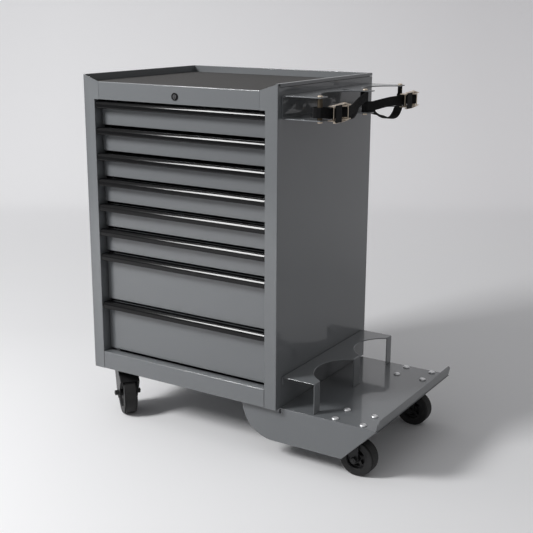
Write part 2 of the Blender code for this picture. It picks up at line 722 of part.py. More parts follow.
def bottle_shelf():
    """Lower bottle bracket: a plate with two round cut-outs on three folded legs."""
    wall = CABINET_WIDTH + SEAT_GAP
    edge = CABINET_WIDTH + SHELF_REACH
    near, far = SHELF_START, SHELF_START + SHELF_LENGTH
    foot = PLATFORM_TOP + SEAT_GAP
    outline = [(CABINET_WIDTH + x, y) for x, y in bottle_edge(near, far, [SHELF_REACH] * 3)]
    shelf = [(wall, near, SHELF_TOP)] + [(x, y, SHELF_TOP) for x, y in outline]
    shelf.append((wall, far, SHELF_TOP))
    panels = [shelf, [(wall, near, SHELF_TOP), (wall, far, SHELF_TOP),
                      (wall, far, SHELF_TOP - SHELF_FLANGE), (wall, near, SHELF_TOP - SHELF_FLANGE)]]
    ends = [y for x, y in outline if abs(x - edge) < 1e-9]
    for start, end in zip(ends[0::2], ends[1::2]):
        panels.append([(edge, start, SHELF_TOP), (edge, end, SHELF_TOP), (edge, end, foot),
                       (edge, start, foot)])
    sheet("bottle_shelf", panels, PLATE, PLATE_BEND, finish=SLATE_PAINT)


def upper_bracket():
    """Upper bottle bracket: a channel whose two flanges have the bottle cut-outs."""
    wall = CABINET_WIDTH + SEAT_GAP
    near, far = BRACKET_START, BRACKET_START + BRACKET_LENGTH
    tips = [SIDE_PRONG_REACH, MIDDLE_PRONG_REACH, SIDE_PRONG_REACH]
    outline = [(CABINET_WIDTH + x, y) for x, y in bottle_edge(near, far, tips)]
    low = BRACKET_TOP - BRACKET_HEIGHT
    flanges = [[(wall, near, z)] + [(x, y, z) for x, y in outline] + [(wall, far, z)]
               for z in (BRACKET_TOP, low)]
    web = [(wall, near, low), (wall, near, BRACKET_TOP), (wall, far, BRACKET_TOP), (wall, far, low)]
    made = sheet("upper_bracket", [flanges[0], web, flanges[1]], PLATE, BRACKET_BEND,
                 finish=SLATE_PAINT)
    holes = []
    for name, (x, y) in POST_PLACES.items():
        x += CABINET_WIDTH
        holes.append(rod(f"bracket_hole_{name}", (x, y, low - PLATE), (x, y, BRACKET_TOP + PLATE),
                         POST_RADIUS + POST_CLEARANCE, sides=12))
    x, y, radius = BRACKET_HOLE
    x += CABINET_WIDTH
    holes.append(rod("bracket_round_hole", (x, y, BRACKET_TOP - 2 * PLATE),
                     (x, y, BRACKET_TOP + PLATE), radius, sides=20))
    cut(made, *holes)


def strap_posts():
    """Three bolts through the bracket's prongs, each with a sleeve and a nut."""
    low = BRACKET_TOP - BRACKET_HEIGHT
    for name, (x, y) in POST_PLACES.items():
        pose = placed(CABINET_WIDTH + x, y, 0)
        head = BRACKET_TOP + SEAT_GAP
        foot = low - SEAT_GAP
        post = rod(f"strap_post_{name}", (0, 0, foot - BOLT_HEAD_HEIGHT / 2), (0, 0, head + JOIN),
                   POST_RADIUS, pose, YELLOW_ZINC, sides=12)
        sleeve = rod(f"sleeve_{name}", (0, 0, low + PLATE + SEAT_GAP),
                     (0, 0, BRACKET_TOP - PLATE - SEAT_GAP), SLEEVE_RADIUS, pose, sides=16)
        cap = rod(f"bolt_head_{name}", (0, 0, head), (0, 0, head + BOLT_HEAD_HEIGHT),
                  BOLT_HEAD_RADIUS, pose, sides=6)
        nut = rod(f"bolt_nut_{name}", (0, 0, foot - BOLT_HEAD_HEIGHT), (0, 0, foot),
                  BOLT_HEAD_RADIUS, pose, sides=6)
        fuse(post, sleeve, cap, nut)


def ribbon(name, route, steps=3):
    """A flat strap along a smooth curve through the route's points.

    Each route point holds its place and the lean of the strap's width from upright, in degrees,
    towards the left of its path.
    """
    points, leans = [], []
    for index in range(len(route) - 1):
        around = [route[max(index - 1, 0)], route[index], route[index + 1],
                  route[min(index + 2, len(route) - 1)]]
        a, b, c, d = [Vector(item[:3]) for item in around]
        for step in range(steps):
            t = step / steps
            points.append(0.5 * (2 * b + (c - a) * t + (2 * a - 5 * b + 4 * c - d) * t * t
                                 + (3 * b - a - 3 * c + d) * t ** 3))
            leans.append(route[index][3] * (1 - t) + route[index + 1][3] * t)
    points.append(Vector(route[-1][:3]))
    leans.append(route[-1][3])
    shape = bmesh.new()
    rails = []
    for index, (point, lean) in enumerate(zip(points, leans)):
        ahead = points[min(index + 1, len(points) - 1)] - points[max(index - 1, 0)]
        ahead.normalize()
        left = Vector((0, 0, 1)).cross(ahead)
        left.normalize()
        up = ahead.cross(left)
        angle = math.radians(lean)
        half = (up * math.cos(angle) + left * math.sin(angle)) * WEBBING_WIDTH / 2
        rails.append((shape.verts.new(point - half), shape.verts.new(point + half)))
    for (a, b), (c, d) in zip(rails, rails[1:]):
        shape.faces.new((a, c, d, b))
    made = from_bmesh(name, shape, CABINET, WEBBING)
    solid = made.modifiers.new("thickness", "SOLIDIFY")
    solid.thickness = WEBBING_THICKNESS
    solid.offset = 0.0
    smooth(made)


def ratchet(name, x, y, level):
    """Strap ratchet: frame with its bars and pin, slotted spool with two cogs, and handle.

    Its own frame has the spool's axis at the origin, X from the strap's pin to the spool, Y
    towards the cabinet and Z upright.
    """
    pose = placed(x, y, level, RATCHET_YAW)
    half, deep = RATCHET_HALF_GAP, RATCHET_DEPTH / 2
    outer = half + RATCHET_PLATE
    hole = SPOOL_END_RADIUS + SPOOL_CLEARANCE
    outline = (arc((RATCHET_NOSE - deep, 0), deep, -90, 90, 6)
               + arc((-RATCHET_TAIL + deep / 2, deep / 2), deep / 2, 90, 180, 3)
               + arc((-RATCHET_TAIL + deep / 2, -deep / 2), deep / 2, 180, 270, 3))
    rings = [outline, circle((0, 0), hole, 12)]
    frame = plate(f"{name}_frame", rings, RATCHET_PLATE, "xy", half + RATCHET_PLATE / 2, pose,
                  YELLOW_ZINC)
    lower = plate(f"{name}_lower_plate", rings, RATCHET_PLATE, "xy", -half - RATCHET_PLATE / 2, pose)
    reach = half + RATCHET_PLATE / 2
    pin = rod(f"{name}_pin", (-RATCHET_PIN_PLACE, 0, -reach), (-RATCHET_PIN_PLACE, 0, reach),
              RATCHET_PIN_RADIUS, pose, sides=10)
    guide = rod(f"{name}_guide_bar", (0, -GUIDE_BAR_PLACE, -reach), (0, -GUIDE_BAR_PLACE, reach),
                GUIDE_BAR_RADIUS, pose, sides=8)
    bar_x, bar_y = -TIE_BAR_PLACE, deep - RATCHET_PLATE / 2
    bar = block(f"{name}_tie_bar", (bar_x - TIE_BAR_WIDTH / 2, bar_y - RATCHET_PLATE, -reach),
                (bar_x + TIE_BAR_WIDTH / 2, bar_y, reach), pose)
    fuse(frame, lower, pin, guide, bar)

    shaft_half = outer + SEAT_GAP + COG_THICKNESS + HANDLE_PLATE + 3 * SEAT_GAP + JOIN
    spool = rod(f"{name}_spool", (0, 0, SEAT_GAP - half), (0, 0, half - SEAT_GAP), SPOOL_RADIUS,
                pose, YELLOW_ZINC, sides=16)
    shaft = rod(f"{name}_shaft", (0, 0, -shaft_half), (0, 0, shaft_half), SPOOL_END_RADIUS, pose,
                sides=12)
    cog_outline = []
    for tooth in range(COG_TEETH):
        start = 360 * tooth / COG_TEETH
        cog_outline += arc((0, 0), COG_RADIUS - COG_TOOTH, start, start + 4, 1)
        cog_outline += arc((0, 0), COG_RADIUS, start + 22, start + 24, 1)
    level = outer + SEAT_GAP + COG_THICKNESS / 2
    cogs = [plate(f"{name}_cog_{i}", [cog_outline], COG_THICKNESS, "xy", i * level, pose)
            for i in (-1, 1)]
    slot = block(f"{name}_slot", (-SPOOL_RADIUS * 2, -SPOOL_SLOT / 2, -half + RATCHET_PLATE),
                 (SPOOL_RADIUS * 2, SPOOL_SLOT / 2, half - RATCHET_PLATE), pose)
    fuse(spool, shaft, *cogs)
    cut(spool, slot)

    grip_y = -HANDLE_OFFSET
    arm = [(-HANDLE_LENGTH, grip_y)] + [(-GRIP_START, grip_y)]
    arm += arc((0, 0), HANDLE_EYE_RADIUS, -80, 110, 8)
    arm += [(-HANDLE_LENGTH, grip_y + GRIP_DROP)]
    rings = [arm, circle((0, 0), hole, 12)]
    level = outer + 2 * SEAT_GAP + COG_THICKNESS + HANDLE_PLATE / 2
    handle = plate(f"{name}_handle", rings, HANDLE_PLATE, "xy", level, pose, YELLOW_ZINC)
    lower = plate(f"{name}_lower_arm", rings, HANDLE_PLATE, "xy", -level, pose)
    grip = block(f"{name}_grip", (-HANDLE_LENGTH, grip_y, -level),
                 (-GRIP_START, grip_y + HANDLE_PLATE, level), pose)
    fuse(handle, lower, grip)


def around(x, y, radius, angles, level):
    """Route points of an upright strap on a circle at the given angles, in degrees."""
    return [(x + radius * math.cos(math.radians(angle)), y + radius * math.sin(math.radians(angle)),
             level, 0) for angle in angles]


def beside(base, points):
    """Route points given by their offsets from a base point."""
    x, y, z = base
    return [(x + dx, y + dy, z + dz, lean) for dx, dy, dz, lean in points]


def between(start, end, points):
    """Route points given by a fraction of the way between two points and offsets in X and Z."""
    start, end = Vector(start), Vector(end)
    return [(*(start.lerp(end, part) + Vector((dx, 0, dz))), lean) for part, dx, dz, lean in points]


def straps():
    """Two ratchet straps: each has a short webbing on a post and a long one to its ratchet."""
    for name, place in RATCHET_PLACES.items():
        ratchet(f"ratchet_{name}", *place)
    on_post = SLEEVE_RADIUS + WEBBING_THICKNESS / 2 + WEBBING_SEAT
    on_pin = RATCHET_PIN_RADIUS + WEBBING_THICKNESS / 2 + PIN_SEAT
    front, middle, rear = [(CABINET_WIDTH + x, y) for x, y in POST_PLACES.values()]
    lower, upper = STRAP_LEVELS
    spool_x, spool_y, level = RATCHET_PLACES["front"]

    route = around(spool_x, spool_y - RATCHET_PIN_PLACE, on_pin, (-45, 0, 45, 90, 135, 180), level)
    route += beside((*front, level), [(0.017, 0.024, 0, 0), (0.012, 0.012, 0.002, 0)])
    route += around(*front, on_post, (-15, -45, -75), level + 0.004)
    route += beside((*front, level), [
        (-0.006, -0.0115, 0.004, 0), (-0.013, -0.012, 0.004, 0), (-0.019, -0.005, 0.004, 0),
        (-0.019, 0.008, 0.004, 0), (-0.012, 0.022, 0.003, 0), (-0.001, 0.030, 0.002, 0),
        (0.0085, 0.033, 0, 0)])
    ribbon("strap_front_short", route)

    post = (*middle, upper)
    route = beside(post, [(0.008, -0.044, 0, 0), (0.001, -0.030, 0, 0), (-0.0065, -0.014, 0, 0)])
    route += around(*middle, on_post, (185, 140, 95, 50, 8), upper)
    route += beside(post, [(0.010, -0.014, 0, 0)])
    route += between(post, RATCHET_PLACES["front"], [
        (0.209, 0.0088, 0.0038, 0), (0.351, 0.0085, 0.0029, 0), (0.517, 0.0077, 0, 0),
        (0.683, 0.0078, -0.0031, 0), (0.837, 0.0088, -0.0034, 0)])
    route += around(spool_x, spool_y, SPOOL_TURN, (0, -45, -90, -135, -180), level)
    route += between(post, RATCHET_PLACES["front"], [
        (0.874, -0.0070, -0.0044, 0), (0.732, -0.0066, -0.0153, 0), (0.591, -0.0053, -0.0246, 0),
        (0.455, -0.0046, -0.0263, 0), (0.332, -0.0051, -0.0211, 0), (0.234, -0.0067, -0.0128, 0),
        (0.160, -0.0082, -0.0068, 0)])
    ribbon("strap_front_long", route)

    spool_x, spool_y, level = RATCHET_PLACES["rear"]
    pin = (spool_x, spool_y - RATCHET_PIN_PLACE, level)
    post = (*middle, lower)
    route = around(*pin[:2], on_pin, (-45, 0, 45, 90, 135, 180), level)
    route += between(post, pin, [
        (0.768, -0.0005, 0.0035, 0), (0.523, 0.0026, 0.0037, 0), (0.278, 0.0056, 0.0018, 0),
        (0.087, 0.0069, 0, 0)])
    route += around(*middle, on_post, (-10, -55, -100, -145, -190), lower)
    route += beside(post, [(-0.0055, 0.011, 0, 0), (-0.0005, 0.022, 0, 0), (0.006, 0.034, 0, 0),
                           (0.0112, 0.045, 0.001, 0)])
    ribbon("strap_rear_short", route)

    spool = RATCHET_PLACES["rear"]
    route = beside((*rear, level), [(0.0145, -0.0045, 0, 0), (0.008, -0.0075, 0, 0)])
    route += around(*rear, on_post, (-90, -135, -180, -225, -270), level)
    route += beside((*rear, level), [(0.010, 0.0092, 0, 0), (0.0215, 0.0105, 0, 0),
                                     (0.0325, 0.011, 0, 0)])
    route += around(spool_x, spool_y, SPOOL_TURN, (90, 45, 0, -45), level)
    route += beside(spool, [
        (-0.002, -0.014, 0, 0), (-0.0105, -0.0205, 0, 0), (-0.0185, -0.027, -0.0015, 5),
        (-0.0245, -0.034, -0.007, 35), (-0.0275, -0.0415, -0.0185, 80)])
    route += between((*middle, level), spool, [
        (0.791, -0.0189, -0.0305, 90), (0.745, -0.0171, -0.0405, 90),
        (0.679, -0.0138, -0.0475, 90), (0.584, -0.0094, -0.0500, 90),
        (0.480, -0.0047, -0.0480, 90), (0.377, -0.0005, -0.0415, 90),
        (0.294, 0.0012, -0.0340, 95), (0.232, -0.0015, -0.0260, 125),
        (0.186, -0.0061, -0.0180, 155), (0.155, -0.0109, -0.0125, 175)])
    ribbon("strap_rear_long", route)


def wheel_pocket(rim, turn):
    """A pocket's outline between two spokes, with even spoke sides."""
    inner, outer = WHEEL_HUB + POCKET_MARGIN, rim - POCKET_MARGIN
    step = 180 / SPOKES
    outline = []
    for radius, steps, way in ((outer, 3, 1), (inner, 1, -1)):
        reach = step - math.degrees(math.asin(SPOKE_WIDTH / 2 / radius))
        outline += arc((0, 0), radius, turn - way * reach, turn + way * reach, steps)
    return outline


def caster_wheel(name, radius, hub_half, pose):
    """Wheel about Z: tread between two grooves, flat sides, and a spoked recess with a hub."""
    half, web, tread = WHEEL_WIDTH / 2, WHEEL_WEB / 2, TREAD_WIDTH / 2
    rim = radius - WHEEL_SIDE
    corner = WHEEL_SHOULDER
    upper = [(WHEEL_BORE, hub_half), (WHEEL_HUB, hub_half), (WHEEL_HUB + WHEEL_BOSS, web),
             (rim - WHEEL_BOSS, web), (rim, half - WHEEL_GROOVE), (rim + WHEEL_GROOVE, half)]
    upper += [(radius - corner, half), (radius - WHEEL_GROOVE, tread + WHEEL_GROOVE),
              (radius - WHEEL_GROOVE, tread), (radius, tread - WHEEL_GROOVE)]
    profile = upper + [(r, -z) for r, z in reversed(upper)]
    wheel = turned(name, profile, WHEEL_STEPS, pose, RUBBER, closed=True)
    depth = half - WHEEL_MEMBRANE / 2
    pockets = [plate(f"{name}_pocket_{index}_{side}", [wheel_pocket(rim, 360 * index / SPOKES)],
                     depth, "xy", side * (half + WHEEL_MEMBRANE / 2) / 2, pose)
               for index in range(SPOKES) for side in (-1, 1)]
    cut(wheel, *pockets)
    return wheel


def caster_axle(name, width, pose):
    """Axle bolt along Z with its head and nut outside the fork."""
    end = width / 2 + SEAT_GAP
    axle = rod(name, (0, 0, -end - AXLE_NUT / 2), (0, 0, end + AXLE_NUT / 2), AXLE_RADIUS, pose,
               BLACK_STEEL, sides=12)
    ends = [rod(f"{name}_end_{i}", (0, 0, i * end), (0, 0, i * (end + AXLE_NUT)), AXLE_NUT_RADIUS,
                pose, sides=6) for i in (-1, 1)]
    fuse(axle, *ends)


def fork_leg(boss, lead, drop, front, back):
    """A leg's outline in Y and Z: its front edge, round about the axle and up to its back."""
    return front + arc((-lead, drop), boss, 200, 350, 6) + back


def swivel_caster(name, x, y, yaw):
    """Swivel caster: bolted plate with kingpin, folded fork that turns on it, wheel and axle."""
    top = PAN_LEVEL - SEAT_GAP
    plate_low = top - SWIVEL_PLATE
    fixed = placed(x, y, 0)
    half_x, half_y = SWIVEL_PLATE_SIZE[0] / 2, SWIVEL_PLATE_SIZE[1] / 2
    mount = block(f"caster_plate_{name}", (-half_x, -half_y, plate_low), (half_x, half_y, top), fixed,
                  BLACK_STEEL)
    race_low = SWIVEL_FORK_TOP + RACE_HEIGHT + SEAT_GAP
    race = rod(f"{name}_race", (0, 0, race_low), (0, 0, top - SWIVEL_PLATE / 2), RACE_RADIUS, fixed,
               sides=24)
    head_top = SWIVEL_FORK_TOP - FORK_PLATE - SEAT_GAP
    pin = rod(f"{name}_kingpin", (0, 0, head_top - JOIN), (0, 0, top - SWIVEL_PLATE / 2),
              KINGPIN_RADIUS, fixed, sides=12)
    head = rod(f"{name}_kingpin_head", (0, 0, head_top - KINGPIN_HEAD_HEIGHT), (0, 0, head_top),
               KINGPIN_RADIUS, fixed, sides=16, tip_radius=KINGPIN_HEAD)
    tools = [race, pin, head]
    above = PAN_LEVEL + PAN_SHEET + SEAT_GAP
    for i, (bolt_x, bolt_y) in enumerate(bolt_places(0, 0, SWIVEL_BOLTS)):
        tools.append(rod(f"{name}_bolt_{i}", (bolt_x, bolt_y, top - JOIN),
                         (bolt_x, bolt_y, above + JOIN), MOUNT_BOLT_RADIUS, fixed, sides=8))
        tools.append(rod(f"{name}_bolt_head_{i}", (bolt_x, bolt_y, above),
                         (bolt_x, bolt_y, above + BOLT_HEAD_HEIGHT), BOLT_HEAD_RADIUS, fixed,
                         sides=6))
    fuse(mount, *tools)

    pose = placed(x, y, 0, yaw)
    side = SWIVEL_FORK_WIDTH / 2
    axle_level = SWIVEL_WHEEL_RADIUS - CABINET_LIFT
    hood_radius = SWIVEL_WHEEL_RADIUS + HOOD_CLEARANCE + FORK_PLATE
    hood = arc((-SWIVEL_LEAD, axle_level), hood_radius, *HOOD_ARC, 4)
    hood[0] = (hood[0][0], SWIVEL_FORK_TOP)
    back = SWIVEL_FORK_BACK
    path = [(back, SWIVEL_FORK_TOP)] + hood
    panels = [[(-side, *b), (side, *b), (side, *a), (-side, *a)] for a, b in zip(path, path[1:])]
    leg = fork_leg(SWIVEL_FORK_BOSS, SWIVEL_LEAD, axle_level, hood, [(back, SWIVEL_FORK_TOP)])
    panels += [[(i, y, z) for y, z in leg] for i in (-side, side)]
    fork = sheet(f"caster_fork_{name}", panels, FORK_PLATE, 0.0, pose, BLACK_STEEL)
    ring = rod(f"{name}_fork_race", (0, 0, SWIVEL_FORK_TOP - FORK_PLATE / 2),
               (0, 0, SWIVEL_FORK_TOP + RACE_HEIGHT), RACE_RADIUS - RACE_STEP, pose, sides=24)
    bore = rod(f"{name}_fork_bore", (0, 0, head_top), (0, 0, race_low + JOIN),
               KINGPIN_RADIUS + HOLE_CLEARANCE, pose, sides=12)
    axle_hole = rod(f"{name}_fork_axle_hole", (-2 * side, -SWIVEL_LEAD, axle_level),
                    (2 * side, -SWIVEL_LEAD, axle_level), WHEEL_BORE, pose, sides=12)
    fuse(fork, ring)
    cut(fork, bore, axle_hole)
    across = Matrix.Translation((0, -SWIVEL_LEAD, axle_level)) @ Matrix.Rotation(math.pi / 2, 4, "Y")
    caster_wheel(f"caster_wheel_{name}", SWIVEL_WHEEL_RADIUS, side - FORK_PLATE - HUB_PLAY,
                 pose @ across)
    caster_axle(f"caster_axle_{name}", SWIVEL_FORK_WIDTH, pose @ across)


def fixed_caster(name, y, lead):
    """Rigid caster under the platform: plate with two legs, four domed bolts, wheel and axle."""
    pose = placed(FIXED_X, y, 0, 90)
    top = PLATFORM_TOP - PLATE - SEAT_GAP
    low = top - PLATE
    half_x, half_y = FIXED_PLATE_SIZE[0] / 2, FIXED_PLATE_SIZE[1] / 2
    bracket = block(f"fixed_caster_{name}", (-half_x, -half_y, low), (half_x, half_y, top), pose,
                    BLACK_STEEL)
    side = FIXED_FORK_WIDTH / 2
    axle_level = FIXED_WHEEL_RADIUS - CABINET_LIFT
    leg = fork_leg(FIXED_FORK_BOSS, lead, axle_level, [(-lead - FIXED_FORK_FRONT, top - JOIN)],
                   [(FIXED_FORK_BACK, top - JOIN)])
    tools = [plate(f"{name}_leg_{i}", [leg], FORK_PLATE, "yz", i * (side - FORK_PLATE / 2), pose)
             for i in (-1, 1)]
    for i, (x, along) in enumerate(bolt_places(0, 0, FIXED_BOLTS)):
        seat = PLATFORM_TOP + SEAT_GAP
        here = pose @ Matrix.Translation((x, along, 0))
        dome = [(0.0, seat + CARRIAGE_HEAD_HEIGHT)]
        dome += [(CARRIAGE_HEAD_RADIUS * math.sin(a), seat + CARRIAGE_HEAD_HEIGHT * math.cos(a))
                 for a in (0.52, 1.05)]
        dome += [(CARRIAGE_HEAD_RADIUS, seat), (0.0, seat)]
        tools.append(turned(f"{name}_bolt_dome_{i}", dome, 12, here))
        tools.append(rod(f"{name}_bolt_{i}", (0, 0, low - JOIN), (0, 0, seat + JOIN),
                         CARRIAGE_BOLT_RADIUS, here, sides=8))
        tools.append(rod(f"{name}_nut_{i}", (0, 0, low - NUT_HEIGHT), (0, 0, low + JOIN),
                         BOLT_HEAD_RADIUS, here, sides=6))
    axle_hole = rod(f"{name}_axle_hole", (-2 * side, -lead, axle_level),
                    (2 * side, -lead, axle_level), WHEEL_BORE, pose, sides=12)
    fuse(bracket, *tools)
    cut(bracket, axle_hole)
    across = Matrix.Translation((0, -lead, axle_level)) @ Matrix.Rotation(math.pi / 2, 4, "Y")
    caster_wheel(f"fixed_wheel_{name}", FIXED_WHEEL_RADIUS, side - FORK_PLATE - HUB_PLAY,
                 pose @ across)
    caster_axle(f"fixed_axle_{name}", FIXED_FORK_WIDTH, pose @ across)


cabinet_shell()
drawers()
slide_racks()
lock()
platform()
bottle_shelf()
upper_bracket()
strap_posts()
straps()
for place, (place_x, place_y, place_yaw) in SWIVEL_PLACES.items():
    swivel_caster(place, place_x, place_y, place_yaw)
for place, (place_y, place_lead) in FIXED_PLACES.items():
    fixed_caster(place, place_y, place_lead)
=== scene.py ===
"""A welding cart in a studio: roller cabinet, bottle platform, brackets, straps and casters.

The cabinet frame used below has X right from the cabinet's left side, Y back from its front and
Z up from its bottom edge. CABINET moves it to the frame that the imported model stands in.
"""

import math

import bmesh
import bpy
import numpy as np
from mathutils import Matrix, Vector


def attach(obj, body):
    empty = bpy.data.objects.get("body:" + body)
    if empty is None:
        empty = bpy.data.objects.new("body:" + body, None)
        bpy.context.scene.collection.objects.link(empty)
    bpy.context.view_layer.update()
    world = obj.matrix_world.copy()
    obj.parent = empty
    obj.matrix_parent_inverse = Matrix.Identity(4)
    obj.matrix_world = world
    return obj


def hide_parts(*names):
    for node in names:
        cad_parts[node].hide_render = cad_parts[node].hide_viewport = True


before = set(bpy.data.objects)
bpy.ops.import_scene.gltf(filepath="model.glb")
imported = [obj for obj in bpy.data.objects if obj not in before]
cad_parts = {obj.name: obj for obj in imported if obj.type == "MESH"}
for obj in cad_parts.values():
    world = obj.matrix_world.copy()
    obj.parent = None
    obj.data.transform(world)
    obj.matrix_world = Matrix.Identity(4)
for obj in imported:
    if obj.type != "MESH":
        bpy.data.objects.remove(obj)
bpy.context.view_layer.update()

for scrap in [o for o in bpy.data.objects if o.type in ("CAMERA", "LIGHT")]:
    bpy.data.objects.remove(scrap)


# The studio: a pale paper sweep under the cart, one soft lamp in front on the left, and a room
# that is pale above and on the left and dim on the right. The camera stands at the front right.
FLOOR_SEEN = (0.90, 0.90, 0.91)
FLOOR_CAST = (0.31, 0.31, 0.32)
WALL_GLOW = (0.290, 0.290, 0.296)
WALL_DIM = (0.165, 0.160, 0.166)
GLOW_FADE = 0.31
GLOW_START = 0.9
GLOW_RISE = 2.6
ROOM_COLOUR = (0.90, 0.90, 0.91)
ROOM_PALE_SIDE = (-0.55, -0.10, 0.83)
ROOM_STOPS = ((0.0, 0.24), (0.42, 0.20), (0.75, 0.34), (1.0, 0.60))
ROOM_STRENGTH = 1.16
SWEEP_REACH = 3.2
SWEEP_BEND = 1.6
SWEEP_HEIGHT = 5.0
SWEEP_HALF = 9.0
SWEEP_STEPS = 24
LAMP_PLACE = (-1.9, -2.7, 2.7)
LAMP_AIM = (0.0, 0.0, 0.5)
LAMP_SIZE = (0.9, 1.1)
LAMP_POWER = 121.0
CAMERA_PLACE = (1.5439, -2.5121, 1.2839)
CAMERA_PITCH = 0.259
CAMERA_YAW = 0.5579
CAMERA_ROLL = 0.0047
CAMERA_LENS = 66.43
CAMERA_CLIP = (0.05, 60.0)


class Wire:
    """A socket of a node; sums written on it add their Math nodes."""

    def __init__(self, board, socket):
        self.board = board
        self.socket = socket

    def math(self, operation, *values):
        """A Math node of the values."""
        return self.board.node("Math", {"operation": operation}, dict(enumerate(values)))

    def __add__(self, other):
        return self.math("ADD", self, other)

    def __sub__(self, other):
        return self.math("SUBTRACT", self, other)

    def __mul__(self, other):
        return self.math("MULTIPLY", self, other)

    def __rsub__(self, other):
        return self.math("SUBTRACT", other, self)

    __radd__ = __add__
    __rmul__ = __mul__

    def clipped(self):
        """The value held between 0 and 1."""
        return self.math("MINIMUM", self.math("MAXIMUM", self, 0.0), 1.0)

    def wave(self, pitch):
        """A soft ripple from 0 to 1 along the value, once each pitch."""
        return self.math("SINE", self * (2 * math.pi / pitch)) * 0.5 + 0.5


class Board:
    """The nodes of a material or of the room. node() adds any node, set() feeds the shader."""

    def __init__(self, owner, shader):
        owner.use_nodes = True
        self.tree = owner.node_tree
        self.shader = self.tree.nodes[shader]

    def feed(self, socket, value):
        """Link a Wire to a socket of a node, or write a number or a colour on it."""
        if isinstance(value, Wire):
            self.tree.links.new(value.socket, socket)
        elif isinstance(value, (tuple, list)) and len(value) == 3 and socket.type == "RGBA":
            socket.default_value = (*value, 1.0)
        else:
            socket.default_value = value

    def node(self, kind, settings=None, values=None, output=0):
        """A new node of a kind, with its settings or a ramp's stops, and its sockets' values."""
        made = self.tree.nodes.new("ShaderNode" + kind)
        for key, value in (settings or {}).items():
            if key != "stops":
                setattr(made, key, value)
                continue
            while len(made.color_ramp.elements) < len(value):
                made.color_ramp.elements.new(0.5)
            for element, (position, colour) in zip(made.color_ramp.elements, value):
                element.position, element.color = position, (*colour, 1.0)
        for key, value in (values or {}).items():
            self.feed(made.inputs[key], value)
        return Wire(self, made.outputs[output])

    def set(self, **shader):
        """Feed the sockets of the shader, named with underscores."""
        for key, value in shader.items():
            self.feed(self.shader.inputs[key.replace("_", " ")], value)


class Finish(Board):
    """One material, with the patterns that its colour, gloss and relief are made from."""

    def __init__(self, name, **shader):
        self.material = bpy.data.materials.new(name)
        super().__init__(self.material, "Principled BSDF")
        self.set(**shader)

    def place(self):
        """Object coordinates, in metres."""
        return self.node("TexCoord", output="Object")

    def noise(self, scale, detail=3.0, roughness=0.5):
        """Soft noise from 0 to 1 with features of about one over the scale, in metres."""
        return self.node("TexNoise", None, {
            "Vector": self.place(), "Scale": scale, "Detail": detail, "Roughness": roughness})

    def along(self, direction):
        """How far a point lies in a level direction, in metres."""
        return self.node("VectorMath", {"operation": "DOT_PRODUCT"},
                         {0: self.place(), 1: (*direction, 0.0)}, output="Value")

    def blend(self, factor, first, second):
        """A colour between two, by the factor; 0, 6 and 7 are a colour Mix node's sockets."""
        return self.node("Mix", {"data_type": "RGBA"}, {0: factor, 6: first, 7: second}, output=2)

    def edges(self):
        """About 1 on outer edges and 0 on flats, from the mesh's pointiness."""
        return ((self.node("NewGeometry", output="Pointiness") - 0.5) * 9.0).clipped()

    def bump(self, height, distance, strength=1.0):
        """Raised relief of that depth, in metres."""
        self.set(Normal=self.node("Bump", None, {
            "Height": height, "Distance": distance, "Strength": strength}))

    def plain(self, shades, tone, gloss, relief):
        """Two shades mixed by a noise that also dulls the gloss, and a noise in relief.

        Tone is the noise's scale and detail, gloss the roughness at 0 and what the noise adds,
        relief a scale, a detail, a depth in metres and a strength.
        """
        cloud = self.noise(*tone)
        self.set(Base_Color=self.blend(cloud, *shades), Roughness=gloss[0] + cloud * gloss[1])
        self.bump(self.noise(*relief[:2]), *relief[2:])


def quads(rows, columns, wrap_rows=False, wrap_columns=False):
    """Quads between neighbouring points of a grid, as rows of four corner numbers."""
    number = np.arange(rows * columns).reshape(rows, columns)
    if wrap_rows:
        number = np.vstack([number, number[:1]])
    if wrap_columns:
        number = np.hstack([number, number[:, :1]])
    return np.stack([number[:-1, :-1], number[:-1, 1:], number[1:, 1:], number[1:, :-1]],
                    axis=-1).reshape(-1, 4).tolist()


# The sweep is a level floor, a quarter circle and an upright wall, square to the camera's aim.
turns = np.linspace(0.0, math.pi / 2, SWEEP_STEPS)
ground = np.concatenate([[-SWEEP_HALF], SWEEP_REACH + SWEEP_BEND * np.sin(turns),
                         [SWEEP_REACH + SWEEP_BEND]])
height = np.concatenate([[0.0], SWEEP_BEND * (1 - np.cos(turns)), [SWEEP_HEIGHT]])
breadth = np.array([-SWEEP_HALF, SWEEP_HALF])
ahead = np.array([-math.sin(CAMERA_YAW), math.cos(CAMERA_YAW)])
aside = np.array([math.cos(CAMERA_YAW), math.sin(CAMERA_YAW)])
paper = Finish("studio_paper", Roughness=0.9, Specular_IOR_Level=0.1, Emission_Strength=1.0)
seen = (paper.node("LightPath", output="Is Camera Ray")
        + paper.node("LightPath", output="Is Glossy Ray"))
glow = paper.blend((paper.along(aside) * GLOW_FADE + 0.5).clipped(), WALL_GLOW, WALL_DIM)
rise_of_glow = ((paper.along(ahead) - GLOW_START) * (1 / GLOW_RISE)).clipped() * seen
paper.set(Base_Color=paper.blend(seen, FLOOR_CAST, FLOOR_SEEN),
          Emission_Color=paper.blend(rise_of_glow, (0.0, 0.0, 0.0), glow))
flat = ground[:, None, None] * ahead + breadth[None, :, None] * aside
points = np.concatenate([flat, np.repeat(height[:, None, None], 2, axis=1)], axis=-1)
sweep_mesh = bpy.data.meshes.new("sweep")
sweep_mesh.from_pydata(points.reshape(-1, 3).tolist(), [],
                       [face[::-1] for face in quads(*points.shape[:2])])
sweep_mesh.shade_smooth()
sweep_mesh.materials.append(paper.material)
sweep = bpy.data.objects.new("sweep", sweep_mesh)
bpy.context.scene.collection.objects.link(sweep)

